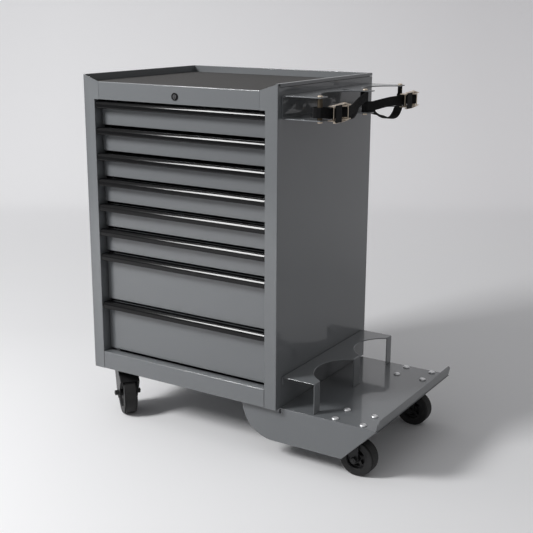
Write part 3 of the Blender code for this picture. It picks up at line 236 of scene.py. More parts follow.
# The room's light fades with the angle from its pale side, by the stops' strengths.
room = bpy.data.worlds.new("room")
sky = Board(room, "Background")
facing = sky.node("VectorMath", {"operation": "DOT_PRODUCT"},
                  {0: sky.node("TexCoord", output="Generated"), 1: ROOM_PALE_SIDE},
                  output="Value")
stops = [(position, [value * strength for value in ROOM_COLOUR])
         for position, strength in ROOM_STOPS]
share = sky.node("MapRange", None, {"Value": facing, "From Min": -1.0})
sky.set(Color=sky.node("ValToRGB", {"stops": stops}, {0: share}), Strength=ROOM_STRENGTH)
bpy.context.scene.world = room

light = bpy.data.lights.new("key_lamp", "AREA")
light.shape = "RECTANGLE"
light.size, light.size_y = LAMP_SIZE
light.energy = LAMP_POWER
lamp = bpy.data.objects.new("key_lamp", light)
lamp.location = LAMP_PLACE
lamp.rotation_euler = (Vector(LAMP_AIM) - Vector(LAMP_PLACE)).to_track_quat("-Z", "Y").to_euler()
bpy.context.scene.collection.objects.link(lamp)

view = bpy.data.cameras.new("camera")
view.sensor_width = 36.0
view.lens = CAMERA_LENS
view.clip_start, view.clip_end = CAMERA_CLIP
camera = bpy.data.objects.new("camera", view)
camera.matrix_world = (
    Matrix.Translation(CAMERA_PLACE) @ Matrix.Rotation(CAMERA_YAW, 4, "Z")
    @ Matrix.Rotation(math.pi / 2 - CAMERA_PITCH, 4, "X") @ Matrix.Rotation(CAMERA_ROLL, 4, "Z"))
bpy.context.scene.collection.objects.link(camera)
bpy.context.scene.camera = camera
bpy.context.scene.view_settings.view_transform = "Standard"


# The cabinet's skins: side panels, back and floor pan of 1.2 mm steel, folded and powder coated
# in a glossy slate grey. The coat has a faint orange peel and pale worn specks, and a painted
# highlight makes its edges paler.
CABINET_LIFT = 0.164
CABINET = Matrix.Translation((-0.4965, -0.27885, CABINET_LIFT))
WIDTH, DEPTH, HEIGHT = 0.680, 0.560, 0.922
SHEET = 0.0012
GAP = 0.0003
POST_WIDTH, POST_HEAD, POST_RETURN = 0.0402, 0.0577, 0.045
REAR_FLANGE = 0.018
OPENING_TOP = 0.850
FASCIA_TOP = 0.9026
RIM_SKIRT = 0.009
RIM_SHADOW = 0.0015
BEND = 0.0022
CUT_EDGE = 0.0003
SLATE = (0.140, 0.149, 0.157)
SLATE_PALE = tuple(value * 1.08 for value in SLATE)
# The colour of the worn specks and of the painted highlight on the edges.
SLATE_SPECK_AND_EDGE_LIGHT = (0.215, 0.224, 0.233)
PEEL_RELIEF = 0.00003

slate = Finish("slate_paint", Metallic=0.0, IOR=1.5, Coat_Roughness=0.05)
broad = slate.noise(2.3, 2.0)
peel = slate.noise(900.0, 2.0)
speck = slate.noise(5200.0, 1.0)
tone = slate.blend((broad - 0.35) * 1.1, SLATE, SLATE_PALE)
# Pale specks of wear at random, and a painted highlight on the edges from the mesh's pointiness.
specks_and_edge_highlight = (((speck - 0.60) * 2.2).clipped() + slate.edges() * 0.45).clipped()
slate.set(Base_Color=slate.blend(specks_and_edge_highlight, tone, SLATE_SPECK_AND_EDGE_LIGHT),
          Roughness=0.29 + peel * 0.10 + broad * 0.06, Coat_Weight=0.90 - broad * 0.15)
slate.bump(peel * 0.7 + speck * 0.3, PEEL_RELIEF, 0.5)


def settle_mesh(mesh, angle=50.0):
    """Smooth shading with the corners kept sharp."""
    mesh.shade_smooth()
    mesh.set_sharp_from_angle(angle=math.radians(angle))


def add_piece(name, mesh, material, body, stands_for=(), pose=CABINET, weigh=True):
    """Link a finished mesh, ride it on its body and hide the solids that it stands for."""
    mesh.transform(pose)
    mesh.materials.clear()
    mesh.materials.append(material)
    made = bpy.data.objects.new(name, mesh)
    bpy.context.scene.collection.objects.link(made)
    if weigh:
        faces_lead = made.modifiers.new("faces_lead", "WEIGHTED_NORMAL")
        faces_lead.keep_sharp = True
        faces_lead.weight = 80
    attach(made, body)
    if stands_for:
        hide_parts(*stands_for)
    return made


BOOLEANS = {"CUT": "DIFFERENCE", "KEEP": "INTERSECT"}


def applied(mesh, *stages):
    """The mesh after its stages.

    A stage is a modifier's type and settings, or CUT or KEEP and a mesh: CUT takes the mesh's
    space away, KEEP leaves only what lies inside it.
    """
    link = bpy.context.scene.collection.objects.link
    holder = bpy.data.objects.new("holder", mesh)
    link(holder)
    cutters = []
    for kind, settings in stages:
        if kind in BOOLEANS:
            cutters.append(bpy.data.objects.new("cutter", settings))
            link(cutters[-1])
            settings = {"operation": BOOLEANS[kind], "solver": "EXACT", "object": cutters[-1]}
            kind = "BOOLEAN"
        stage = holder.modifiers.new(kind, kind)
        for key, value in settings.items():
            setattr(stage, key, value)
    bpy.context.view_layer.update()
    graph = bpy.context.evaluated_depsgraph_get()
    done = bpy.data.meshes.new_from_object(holder.evaluated_get(graph), depsgraph=graph)
    for scrap in [holder] + cutters:
        bpy.data.objects.remove(scrap)
    settle_mesh(done)
    return done


def eased_edges(width, steps=2, angle=40.0):
    """The stage that rounds a mesh's sharp edges."""
    return ("BEVEL", {"limit_method": "ANGLE", "angle_limit": math.radians(angle), "width": width,
                      "segments": steps})


def folded(name, panels, gauge, bend, steps=4, cuts=(), edge=CUT_EDGE):
    """Sheet metal from flat panels that share edges.

    The first panel runs anticlockwise seen from the side that keeps its place. Shared edges are
    rounded to the bend, the gauge goes to the other side, holes are cut and cut edges eased.
    """
    shape = bmesh.new()
    corners = {}
    for panel in panels:
        ring = []
        for point in panel:
            key = tuple(round(value, 6) for value in point)
            if key not in corners:
                corners[key] = shape.verts.new(point)
            ring.append(corners[key])
        shape.faces.new(ring)
    bmesh.ops.recalc_face_normals(shape, faces=shape.faces)
    shape.faces.ensure_lookup_table()
    shape.normal_update()
    first = [Vector(point) for point in panels[0]]
    wanted = sum((a.cross(b) for a, b in zip(first, first[1:] + first[:1])), Vector())
    if shape.faces[0].normal.dot(wanted) < 0:
        bmesh.ops.reverse_faces(shape, faces=shape.faces)
    weight = shape.edges.layers.float.new("bevel_weight_edge")
    for edge_line in shape.edges:
        edge_line[weight] = 1.0 if len(edge_line.link_faces) == 2 else 0.0
    mesh = bpy.data.meshes.new(name)
    shape.to_mesh(mesh)
    shape.free()
    stages = []
    if bend:
        stages.append(("BEVEL", {"limit_method": "WEIGHT", "width": bend, "segments": steps}))
    stages.append(("SOLIDIFY", {
        "solidify_mode": "NON_MANIFOLD", "nonmanifold_thickness_mode": "CONSTRAINTS",
        "thickness": gauge, "offset": -1.0}))
    stages += [("CUT", cut) for cut in cuts]
    if edge:
        stages.append(eased_edges(edge))
    return applied(mesh, *stages)


def side_skin(name, flip):
    """Outer skin with its corner post, post head and rear flange, all one sheet."""
    def x(value):
        """A place across the cabinet, counted from the skin's own side."""
        return WIDTH - value if flip else value

    top = HEIGHT - RIM_SKIRT - RIM_SHADOW
    slope = RIM_SKIRT + RIM_SHADOW
    skin = [(x(0), 0, 0), (x(0), 0, HEIGHT), (x(0), slope, top), (x(0), DEPTH, top),
            (x(0), DEPTH, 0)]
    face = [(x(0), 0, 0), (x(POST_WIDTH), 0, 0), (x(POST_WIDTH), 0, OPENING_TOP),
            (x(POST_HEAD), 0, OPENING_TOP), (x(POST_HEAD), 0, FASCIA_TOP), (x(0), 0, HEIGHT)]
    fold = [(x(POST_WIDTH), 0, 0), (x(POST_WIDTH), POST_RETURN, 0),
            (x(POST_WIDTH), POST_RETURN, OPENING_TOP), (x(POST_WIDTH), 0, OPENING_TOP)]
    rear = [(x(0), DEPTH, 0), (x(0), DEPTH, top), (x(REAR_FLANGE), DEPTH, top),
            (x(REAR_FLANGE), DEPTH, 0)]
    if flip:
        skin.reverse()
    mesh = folded(name, [skin, face, fold, rear], SHEET, BEND)
    add_piece(name, mesh, slate.material, "cabinet", [name.removesuffix("_skin")])


side_skin("side_panel_left_skin", False)
side_skin("side_panel_right_skin", True)


def dress(material, slot, *names):
    """Give CAD nodes that keep their shape a finished material."""
    for name in names:
        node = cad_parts[name]
        node.data.materials.clear()
        node.data.materials.append(material)


dress(slate.material, "slate_paint", "back_panel", "floor_pan")


# The lid tray: one folded sheet with three hooded rims, mitred at the back corners, and a hidden
# front flange. A grey foam mat with a fine pebbled face lies loose in it.
RIM_WIDTH = 0.0085
TRAY_DEPTH = 0.0245
TRAY_FLANGE = 0.015
TRAY_BEND = 0.0011
FASCIA_FOLD = 0.0055
MAT_THICKNESS = 0.003
MAT_MARGIN = 0.002
MAT_CORNER = 0.005
MAT_EDGE = 0.0009
FOAM_SHADES = (0.082, 0.079, 0.077), (0.060, 0.058, 0.057)
PEBBLE_RELIEF = 0.00035

tray_floor, tray_top = HEIGHT - TRAY_DEPTH, HEIGHT
skirt = tray_top - RIM_SKIRT
tray_front = SHEET + 2 * GAP
tray_step = FASCIA_FOLD + GAP
hood_start = RIM_SKIRT + RIM_SHADOW
far = DEPTH - RIM_WIDTH
tray = [[(RIM_WIDTH, tray_front, tray_floor), (POST_HEAD, tray_front, tray_floor),
         (POST_HEAD, tray_step, tray_floor), (WIDTH - POST_HEAD, tray_step, tray_floor),
         (WIDTH - POST_HEAD, tray_front, tray_floor), (WIDTH - RIM_WIDTH, tray_front, tray_floor),
         (WIDTH - RIM_WIDTH, far, tray_floor), (RIM_WIDTH, far, tray_floor)]]
tray.append([(POST_HEAD, tray_step, tray_floor), (WIDTH - POST_HEAD, tray_step, tray_floor),
             (WIDTH - POST_HEAD, tray_step, tray_floor - TRAY_FLANGE),
             (POST_HEAD, tray_step, tray_floor - TRAY_FLANGE)])
for inner, outer in ((RIM_WIDTH, 0.0), (WIDTH - RIM_WIDTH, WIDTH)):
    tray.append([(inner, tray_front, tray_floor), (inner, far, tray_floor), (inner, far, tray_top),
                 (inner, tray_front, tray_top)])
    tray.append([(inner, tray_front, tray_top), (inner, far, tray_top), (outer, DEPTH, tray_top),
                 (outer, hood_start, tray_top), (outer, tray_front, tray_top)])
    tray.append([(outer, hood_start, tray_top), (outer, DEPTH, tray_top), (outer, DEPTH, skirt),
                 (outer, hood_start, skirt)])
tray.append([(RIM_WIDTH, far, tray_floor), (WIDTH - RIM_WIDTH, far, tray_floor),
             (WIDTH - RIM_WIDTH, far, tray_top), (RIM_WIDTH, far, tray_top)])
tray.append([(RIM_WIDTH, far, tray_top), (WIDTH - RIM_WIDTH, far, tray_top),
             (WIDTH, DEPTH, tray_top), (0, DEPTH, tray_top)])
tray.append([(0, DEPTH, tray_top), (WIDTH, DEPTH, tray_top), (WIDTH, DEPTH, skirt),
             (0, DEPTH, skirt)])
add_piece("lid_tray", folded("lid_tray", tray, SHEET, TRAY_BEND, steps=3), slate.material,
          "cabinet", ["top_tray"])

foam = Finish("grey_foam", Roughness=0.82, Specular_IOR_Level=0.35)
pebble = foam.node("TexVoronoi", {"feature": "SMOOTH_F1"},
                   {"Vector": foam.place(), "Scale": 620.0})
cloud = foam.noise(5.0, 3.0)
foam.set(Base_Color=foam.blend((pebble * 1.3 + cloud * 0.5 - 0.3).clipped(), *FOAM_SHADES),
         Roughness=0.74 + pebble * 0.16)
foam.bump(1.0 - pebble, PEBBLE_RELIEF, 0.8)


def arc(centre, radius, start, end, steps):
    """Points on a circle from one angle to another, in degrees, as rows of two."""
    angle = np.radians(np.linspace(start, end, steps + 1))
    return np.stack([centre[0] + radius * np.cos(angle), centre[1] + radius * np.sin(angle)], -1)


def rounded_box(low, high, radius, steps=6):
    """A rectangle's outline whose corners are quarter circles."""
    (xa, ya), (xb, yb) = np.add(low, radius), np.subtract(high, radius)
    centres = ((xb, ya), (xb, yb), (xa, yb), (xa, ya))
    return np.vstack([arc(centre, radius, 90 * turn - 90, 90 * turn, steps)
                      for turn, centre in enumerate(centres)])


def plate(name, outlines, low, high, edge=CUT_EDGE, steps=2):
    """A flat outline with any holes, filled between two heights, its edges eased."""
    curve = bpy.data.curves.new(name, "CURVE")
    curve.dimensions = "2D"
    curve.fill_mode = "BOTH"
    curve.extrude = (high - low) / 2
    for outline in outlines:
        spline = curve.splines.new("POLY")
        spline.points.add(len(outline) - 1)
        rows = np.zeros((len(outline), 4))
        rows[:, :2] = outline
        rows[:, 3] = 1.0
        spline.points.foreach_set("co", rows.ravel())
        spline.use_cyclic_u = True
    drawn = bpy.data.objects.new(name, curve)
    bpy.context.scene.collection.objects.link(drawn)
    bpy.context.view_layer.update()
    graph = bpy.context.evaluated_depsgraph_get()
    mesh = bpy.data.meshes.new_from_object(drawn.evaluated_get(graph), depsgraph=graph)
    bpy.data.objects.remove(drawn)
    shape = bmesh.new()
    shape.from_mesh(mesh)
    bmesh.ops.remove_doubles(shape, verts=shape.verts, dist=1e-6)
    bmesh.ops.translate(shape, vec=(0, 0, (low + high) / 2), verts=shape.verts)
    bmesh.ops.dissolve_limit(shape, angle_limit=0.01, verts=shape.verts, edges=shape.edges)
    bmesh.ops.recalc_face_normals(shape, faces=shape.faces)
    shape.to_mesh(mesh)
    shape.free()
    mesh.materials.clear()
    return applied(mesh, eased_edges(edge, steps)) if edge else applied(mesh)


margin = RIM_WIDTH + MAT_MARGIN
mat = add_piece(
    "foam_mat",
    plate("foam_mat", [rounded_box((margin, FASCIA_FOLD + MAT_MARGIN),
                                   (WIDTH - margin, DEPTH - margin), MAT_CORNER)],
          tray_floor + GAP, tray_floor + GAP + MAT_THICKNESS, MAT_EDGE, 3),
    foam.material, "cabinet", ["top_mat"])


# The fascia over the drawers and the rail under them: roll-formed strips between the posts, with
# rounded folds. The fascia's top folds back and down over the tray's flange.
FASCIA_HEM = 0.0166
FASCIA_LIP = 0.012
RAIL_HEIGHT = 0.0566
RAIL_FLANGE = 0.020
RAIL_FOOT = 0.012
FRONT_RECESS = 0.030
LOCK_HEIGHT = 0.872
LOCK_BARREL_RADIUS = 0.0095
LOCK_CLEARANCE = 0.0003
LOCK_HOLE_DEPTH = 0.04
SEAM_EDGE = 0.0008


def eased(corners, radius, steps=5):
    """An open polyline whose inner corners are arcs tangent to both of their sides."""
    corners = [np.array(corner, float) for corner in corners]
    line = [corners[0][None]]
    for before, here, after in zip(corners, corners[1:], corners[2:]):
        u, v = before - here, after - here
        u, v = u / np.linalg.norm(u), v / np.linalg.norm(v)
        half = math.acos(np.clip(u @ v, -1, 1)) / 2
        middle = here + (u + v) / np.linalg.norm(u + v) * radius / math.sin(half)
        reach = radius / math.tan(half)
        a, b = here + u * reach - middle, here + v * reach - middle
        start = math.degrees(math.atan2(a[1], a[0]))
        sweep_angle = (math.degrees(math.atan2(b[1], b[0])) - start + 180) % 360 - 180
        line.append(arc(middle, radius, start, start + sweep_angle, steps))
    line.append(corners[-1][None])
    return np.vstack(line)


def walled(path, gauge):
    """A closed outline from an open path and its copy moved by the gauge to its left."""
    along = np.diff(path, axis=0)
    along /= np.linalg.norm(along, axis=1, keepdims=True)
    left = np.stack([-along[:, 1], along[:, 0]], -1)
    before, after = np.vstack([left[:1], left]), np.vstack([left, left[-1:]])
    shift = (before + after) / (1 + np.sum(before * after, axis=1, keepdims=True))
    return np.vstack([path, (path + shift * gauge)[::-1]])


def swept(profile, path, across, up):
    """A closed profile carried along a path: place + a * across + b * up, with capped ends."""
    profile, path = np.asarray(profile, float), np.asarray(path, float)
    across, up = np.broadcast_to(across, path.shape), np.broadcast_to(up, path.shape)
    points = (path[:, None] + profile[None, :, :1] * across[:, None]
              + profile[None, :, 1:] * up[:, None])
    count, last = len(profile), (len(path) - 1) * len(profile)
    caps = [list(range(count))[::-1], list(range(last, last + count))]
    return points.reshape(-1, 3), quads(len(path), count, wrap_columns=True) + caps


def mesh_from(name, *shells):
    """One mesh from closed shells, each an array of points and its faces, facing outwards."""
    points, faces, first = [], [], 0
    for shell_points, shell_faces in shells:
        points.append(shell_points)
        faces += [[first + corner for corner in face] for face in shell_faces]
        first += len(shell_points)
    mesh = bpy.data.meshes.new(name)
    mesh.from_pydata(np.vstack(points).tolist(), [], faces)
    shape = bmesh.new()
    shape.from_mesh(mesh)
    bmesh.ops.remove_doubles(shape, verts=shape.verts, dist=1e-7)
    bmesh.ops.recalc_face_normals(shape, faces=shape.faces)
    shape.to_mesh(mesh)
    shape.free()
    settle_mesh(mesh)
    return mesh


def lathe(profile, steps=48, closed=False):
    """A profile of radius and height turned about Z: x = r cos a, y = r sin a, z = height."""
    radius, level = np.asarray(profile, float).T
    angle = np.linspace(0, 2 * math.pi, steps, endpoint=False)[:, None]
    points = np.stack([radius * np.cos(angle), radius * np.sin(angle),
                       np.broadcast_to(level, (steps, len(level)))], axis=-1)
    return points.reshape(-1, 3), quads(steps, len(radius), wrap_rows=True, wrap_columns=closed)


def moved(shell, pose):
    """The shell with its points put through a pose."""
    turn, shift = np.array(pose.to_3x3()), np.array(pose.translation)
    return shell[0] @ turn.T + shift, shell[1]


ALONG_Y = Matrix.Rotation(math.pi / 2, 4, "X")


def strip(path, start, end):
    """A sheet profile in Y and Z drawn along X."""
    return swept(walled(path, SHEET), [(start, 0, 0), (end, 0, 0)], (0, 1, 0), (0, 0, 1))


fascia_path = eased([(FRONT_RECESS, OPENING_TOP + FASCIA_LIP), (FRONT_RECESS, OPENING_TOP),
                     (0, OPENING_TOP), (0, FASCIA_TOP), (FASCIA_FOLD, FASCIA_TOP),
                     (FASCIA_FOLD, FASCIA_TOP - FASCIA_HEM)], BEND)
fascia_start = POST_HEAD + GAP
hole_radius, hole_half = LOCK_BARREL_RADIUS + LOCK_CLEARANCE, LOCK_HOLE_DEPTH / 2
barrel_hole = lathe([(0, -hole_half), (hole_radius, -hole_half), (hole_radius, hole_half),
                     (0, hole_half)])
barrel_hole = moved(barrel_hole, Matrix.Translation((WIDTH / 2, 0, LOCK_HEIGHT)) @ ALONG_Y)
fascia_strip = strip(fascia_path[::-1], fascia_start, WIDTH - fascia_start)
fascia_mesh = applied(mesh_from("fascia", fascia_strip),
                      ("CUT", mesh_from("barrel_hole", barrel_hole)), eased_edges(SEAM_EDGE))
add_piece("fascia", fascia_mesh, slate.material, "cabinet", ["front_fascia"])

rail_path = eased([(RAIL_FOOT, 0), (0, 0), (0, RAIL_HEIGHT), (FRONT_RECESS, RAIL_HEIGHT),
                   (FRONT_RECESS, RAIL_HEIGHT - RAIL_FLANGE)], BEND)
rail_start = POST_WIDTH + GAP
rail_mesh = applied(mesh_from("rail", strip(rail_path[::-1], rail_start, WIDTH - rail_start)),
                    eased_edges(SEAM_EDGE))
add_piece("lower_rail", rail_mesh, slate.material, "cabinet", ["bottom_rail"])


# Eight drawers: a hollow folded front, a spot-welded box whose wall tops are folded in, and two
# galvanised runners with a rolled channel section. Fronts and boxes are powder coated.
PITCHES = [0.078] * 6 + [0.156] * 2
FIRST_PULL_DROP = 0.006
SIDE_GAP = 0.0025
DRAWER_SHADOW = 0.0065
RAIL_SHADOW = 0.0058
DRAWER_FRONT = 0.012
FRONT_SHEET = 0.001
FRONT_BEND = 0.0014
BOX_SHEET = 0.001
BOX_INSET = 0.0183
BOX_DEPTH = 0.480
BOX_RISE = 0.006
BOX_HEADROOM = 0.022
BOX_HEM = 0.006
SLIDE_RISE = 0.024
RUNNER_HEIGHT = 0.020
RUNNER_START = 0.060
RUNNER_LENGTH = 0.460
RUNNER_THICKNESS = 0.0125
RUNNER_SHEET = 0.0013
RUNNER_FOLD = 0.002
JOIN = 0.0005
PULL_SHEET = 0.0022
ZINC_SHADES = (0.44, 0.455, 0.47), (0.60, 0.615, 0.63)
ZINC_RELIEF = 0.00003

zinc = Finish("galvanised_steel", Metallic=1.0)
flake = zinc.node("TexVoronoi", None, {"Vector": zinc.place(), "Scale": 95.0}, output="Color")
grain = zinc.noise(9.0, 4.0)
shade = zinc.node("RGBToBW", None, {0: flake})
zinc.set(Base_Color=zinc.blend(shade, *ZINC_SHADES), Roughness=0.27 + shade * 0.16 + grain * 0.10)
zinc.bump(shade * 0.4 + zinc.noise(700.0, 2.0) * 0.6, ZINC_RELIEF, 0.5)

levels = OPENING_TOP - FIRST_PULL_DROP - np.cumsum([0.0] + PITCHES[:-1])
front_start, front_end = POST_WIDTH + SIDE_GAP, WIDTH - POST_WIDTH - SIDE_GAP
box_start, box_end = POST_WIDTH + BOX_INSET, WIDTH - POST_WIDTH - BOX_INSET
front_back = FRONT_RECESS + DRAWER_FRONT
box_front, box_back = front_back - JOIN, front_back - JOIN + BOX_DEPTH


def ringed(low, high):
    """The corners of a level rectangle between two corners."""
    (xa, ya, z), (xb, yb, _) = low, high
    return [(xa, ya, z), (xb, ya, z), (xb, yb, z), (xa, yb, z)]


def walls(ring, depth):
    """Upright panels of one depth along each side of a ring of corners."""
    return [[a, b, tuple(np.add(b, depth)), tuple(np.add(a, depth))]
            for a, b in zip(ring, ring[1:] + ring[:1])]


for number, (top, pitch) in enumerate(zip(levels, PITCHES), 1):
    body = f"drawer_{number}_body"
    low, high = top - pitch + DRAWER_SHADOW, top - PULL_SHEET - GAP
    foot = RAIL_HEIGHT + RAIL_SHADOW if number == len(PITCHES) else low
    face = [(front_start, FRONT_RECESS, foot), (front_end, FRONT_RECESS, foot),
            (front_end, FRONT_RECESS, high), (front_start, FRONT_RECESS, high)]
    front = folded(f"drawer_{number}_front", [face] + walls(face, (0, DRAWER_FRONT, 0)),
                   FRONT_SHEET, FRONT_BEND)
    add_piece(f"drawer_{number}_front", front, slate.material, body,
              [f"drawer_{number}"])
    low += BOX_RISE
    rise = pitch - BOX_HEADROOM
    ring = ringed((box_start, box_front, low), (box_end, box_back, low))[::-1]
    sides = walls(ring, (0, 0, rise))
    hems = []
    for a, b in zip(ring, ring[1:] + ring[:1]):
        along = np.sign(np.subtract(b, a))
        inward = np.cross(along, (0, 0, 1)) * BOX_HEM
        up = np.array((0, 0, rise))
        trim = along * BOX_HEM
        hems.append([tuple(a + up), tuple(b + up), tuple(b + up + inward - trim),
                     tuple(a + up + inward + trim)])
    box = folded(f"drawer_{number}_box", [ring] + sides + hems, BOX_SHEET, 0.0, edge=0.0)
    add_piece(f"drawer_{number}_box", box, slate.material, body)
    slide = low + SLIDE_RISE
    half, deep = RUNNER_HEIGHT / 2, RUNNER_THICKNESS
    channel = [(0, -half), (-deep, -half), (-deep, half), (0, half)]
    section = walled(eased(channel, RUNNER_FOLD, 3)[::-1], RUNNER_SHEET)
    runners = []
    for edge_x, way in ((box_start + JOIN, 1), (box_end - JOIN, -1)):
        ends = [(edge_x, RUNNER_START, slide), (edge_x, RUNNER_START + RUNNER_LENGTH, slide)]
        runners.append(swept(section, ends, (way, 0, 0), (0, 0, 1)))
    add_piece(f"drawer_{number}_runners", mesh_from("runners", *runners), zinc.material, body)

dress(zinc.material, "galvanised_steel", "slide_rack_left", "slide_rack_right")


# The drawer pulls: strips of steel folded to a ledge with a round nose and a curled lip, in
# glossy black, screwed to the drawers' faces. Their cut ends are dressed square.
PULL_REACH = 0.028
PULL_DROP = 0.021
PULL_LEG = 0.015
PULL_NOSE = 0.004
PULL_CROWN = 0.024
CROWN_SPAN = (20.0, 37.0)
PULL_CURL = 0.004
PULL_FOLD = 0.0012
PULL_END = 0.0006
GLOSS_SHADES = (0.0025, 0.0025, 0.003), (0.006, 0.006, 0.0065)
GLOSS_RELIEF = 0.00002

gloss = Finish("black_gloss", Metallic=0.0, Specular_IOR_Level=0.17, Coat_Weight=0.14,
               Coat_Roughness=0.03)
gloss.plain(GLOSS_SHADES, (7.0, 3.0), (0.09, 0.05), (14.0, 2.0, GLOSS_RELIEF, 0.3))


def tangent_arcs(start, bends, steps=6):
    """Arcs that carry on from each other, each bend a radius and the two slopes of its face.

    A slope of 0 is upright and faces forward, 90 is level and faces up.
    """
    line = [np.array([start], float)]
    for radius, low, high in bends:
        slopes = np.radians(np.linspace(low, high, steps + 1)[1:])
        first = math.radians(low)
        run = radius * np.stack([math.cos(first) - np.cos(slopes),
                                 np.sin(slopes) - math.sin(first)], axis=1)
        line.append(line[-1][-1] + run)
    return np.vstack(line)


for number, top in enumerate(levels, 1):
    face, nose = FRONT_RECESS - GAP, FRONT_RECESS - PULL_REACH
    leg = [(face, top - PULL_LEG), (face, top)]
    curl = (nose + PULL_CURL, top - PULL_DROP + PULL_CURL)
    crowned = tangent_arcs((nose, 0), [(PULL_NOSE, 0, CROWN_SPAN[0]), (PULL_CROWN, *CROWN_SPAN),
                                       (PULL_NOSE, CROWN_SPAN[1], 90)])
    crowned[:, 1] += top - crowned[-1, 1]
    outer = np.vstack([eased(leg + [(crowned[-1, 0] + PULL_CURL, top)], PULL_FOLD, 4),
                       crowned[::-1], arc(curl, PULL_CURL, 180, 300, 12)])
    section = walled(outer, PULL_SHEET)
    pull = swept(section, [(front_start, 0, 0), (front_end, 0, 0)], (0, 1, 0), (0, 0, 1))
    mesh = applied(mesh_from("pull", pull), eased_edges(PULL_END, 3))
    add_piece(f"pull_{number}", mesh, gloss.material, f"drawer_{number}_body",
              [f"drawer_pull_{number}"])


# The lock in the fascia: a black turned bezel round a bright plug with a key slot, on a barrel
# that carries a stamped cam.
LOCK_FACE_RADIUS = 0.0112
LOCK_PROUD = 0.002
LOCK_BARREL_LENGTH = 0.033
PLUG_RADIUS = 0.0062
KEY_SLOT = (0.0018, 0.0088)
CAM = (0.022, 0.012, 0.002)
CAM_CORNER = 0.005
BEZEL_ROUND = 0.0009
BEZEL_RING = 0.0026
BEZEL_SLOPE = 0.0007
BEZEL_DISH = 0.0006
PLUG_PLAY = 0.0002
PLUG_SEAT = 0.0010
PLUG_ROUND = 0.0004
BRIGHT_SHADES = (0.80, 0.81, 0.83), (0.93, 0.93, 0.93)
BRIGHT_RELIEF = 0.00002
PLUG_SHADES = (0.10, 0.10, 0.105), (0.20, 0.20, 0.205)
PLUG_RELIEF = 0.00003

bright = Finish("bright_zinc", Metallic=0.8)
bright.plain(BRIGHT_SHADES, (60.0, 3.0), (0.36, 0.14), (1500.0, 2.0, BRIGHT_RELIEF, 0.4))
plug_steel = Finish("satin_plug", Metallic=0.9)
plug_steel.plain(PLUG_SHADES, (240.0, 3.0), (0.26, 0.12), (240.0, 3.0, PLUG_RELIEF, 0.4))

lock_pose = CABINET @ Matrix.Translation((WIDTH / 2, -GAP, LOCK_HEIGHT)) @ ALONG_Y
proud = LOCK_PROUD
ring, well = LOCK_FACE_RADIUS - BEZEL_RING, PLUG_RADIUS + PLUG_PLAY
bezel = lathe(np.vstack([
    [(0, 0), (LOCK_FACE_RADIUS, 0)],
    arc((LOCK_FACE_RADIUS - BEZEL_ROUND, proud - BEZEL_ROUND), BEZEL_ROUND, 0, 90, 4),
    [(ring, proud), (ring - BEZEL_SLOPE, proud - BEZEL_DISH), (well, proud - BEZEL_DISH),
     (well, proud - PLUG_SEAT), (0, proud - PLUG_SEAT)]]), 64)
barrel = lathe([(0, -LOCK_BARREL_LENGTH), (LOCK_BARREL_RADIUS, -LOCK_BARREL_LENGTH),
                (LOCK_BARREL_RADIUS, PLUG_PLAY), (0, PLUG_PLAY)], 40)
cam_length, cam_width, cam_gauge = CAM
cam_half, cam_top = cam_width / 2, JOIN - LOCK_BARREL_LENGTH
cam = plate("lock_cam", [rounded_box((-cam_length, -cam_half), (cam_half, cam_half), CAM_CORNER)],
            cam_top - cam_gauge, cam_top)
add_piece("lock_body", mesh_from("lock_body", bezel, barrel), gloss.material, "lock",
          ["lock_cylinder"], lock_pose)
add_piece("lock_cam_plate", cam, zinc.material, "lock", (), lock_pose)
slot_width, slot_length = KEY_SLOT
plug_foot = proud - PLUG_SEAT - BEZEL_DISH
plug = mesh_from("lock_plug", lathe(np.vstack([
    [(0, plug_foot), (PLUG_RADIUS, plug_foot)],
    arc((PLUG_RADIUS - PLUG_ROUND, proud - PLUG_ROUND), PLUG_ROUND, 0, 90, 3), [(0, proud)]]), 48))
key_slot = plate("key_slot", [rounded_box((-slot_width / 2, -slot_length / 2),
                                          (slot_width / 2, slot_length / 2), PLUG_ROUND, 2)],
                 proud - 2 * BEZEL_DISH, proud + PLUG_SEAT, 0.0)
add_piece("lock_plug", applied(plug, ("CUT", key_slot)), plug_steel.material, "lock",
          (), lock_pose)


# The bottle platform: one plate folded to two deep aprons and an upturned lip, joggled down to
# pass under the cabinet, with eight holes for the fixed casters' bolts. Powder coated slate.
PLATE = 0.003
PLATFORM_START = 0.551
PLATFORM_END = 0.986
PLATFORM_INSET = 0.0223
PLATFORM_TOP = 0.0015
PLATFORM_STEP = 0.006
PLATFORM_BEND = 0.0029
PLATFORM_EDGE = 0.0009
APRON_DEPTH = 0.107
APRON_ROUND = 0.105
SLANT_START = 0.882
NOTCH = (0.008, 0.0165)
LIP_HEIGHT = 0.0300
LIP_LEAN = 0.004
LIP_CORNER = 0.008
BOLT_HOLE_RADIUS = 0.0045
FIXED_X = 0.8957
FIXED_BOLTS = (0.0725, 0.087)
FIXED_PLACES = {"front": (0.075, 0.016), "rear": (0.485, 0.004)}


def drill(x, y, low, high, radius):
    """An upright cylinder that cuts a round hole."""
    tool = lathe([(0, low), (radius, low), (radius, high), (0, high)], 32)
    return mesh_from("drill", moved(tool, Matrix.Translation((x, y, 0))))


def corners_of(x, y, pattern):
    """The four corners of a bolt pattern."""
    return [(x + i * pattern[0] / 2, y + j * pattern[1] / 2) for i in (-1, 1) for j in (-1, 1)]


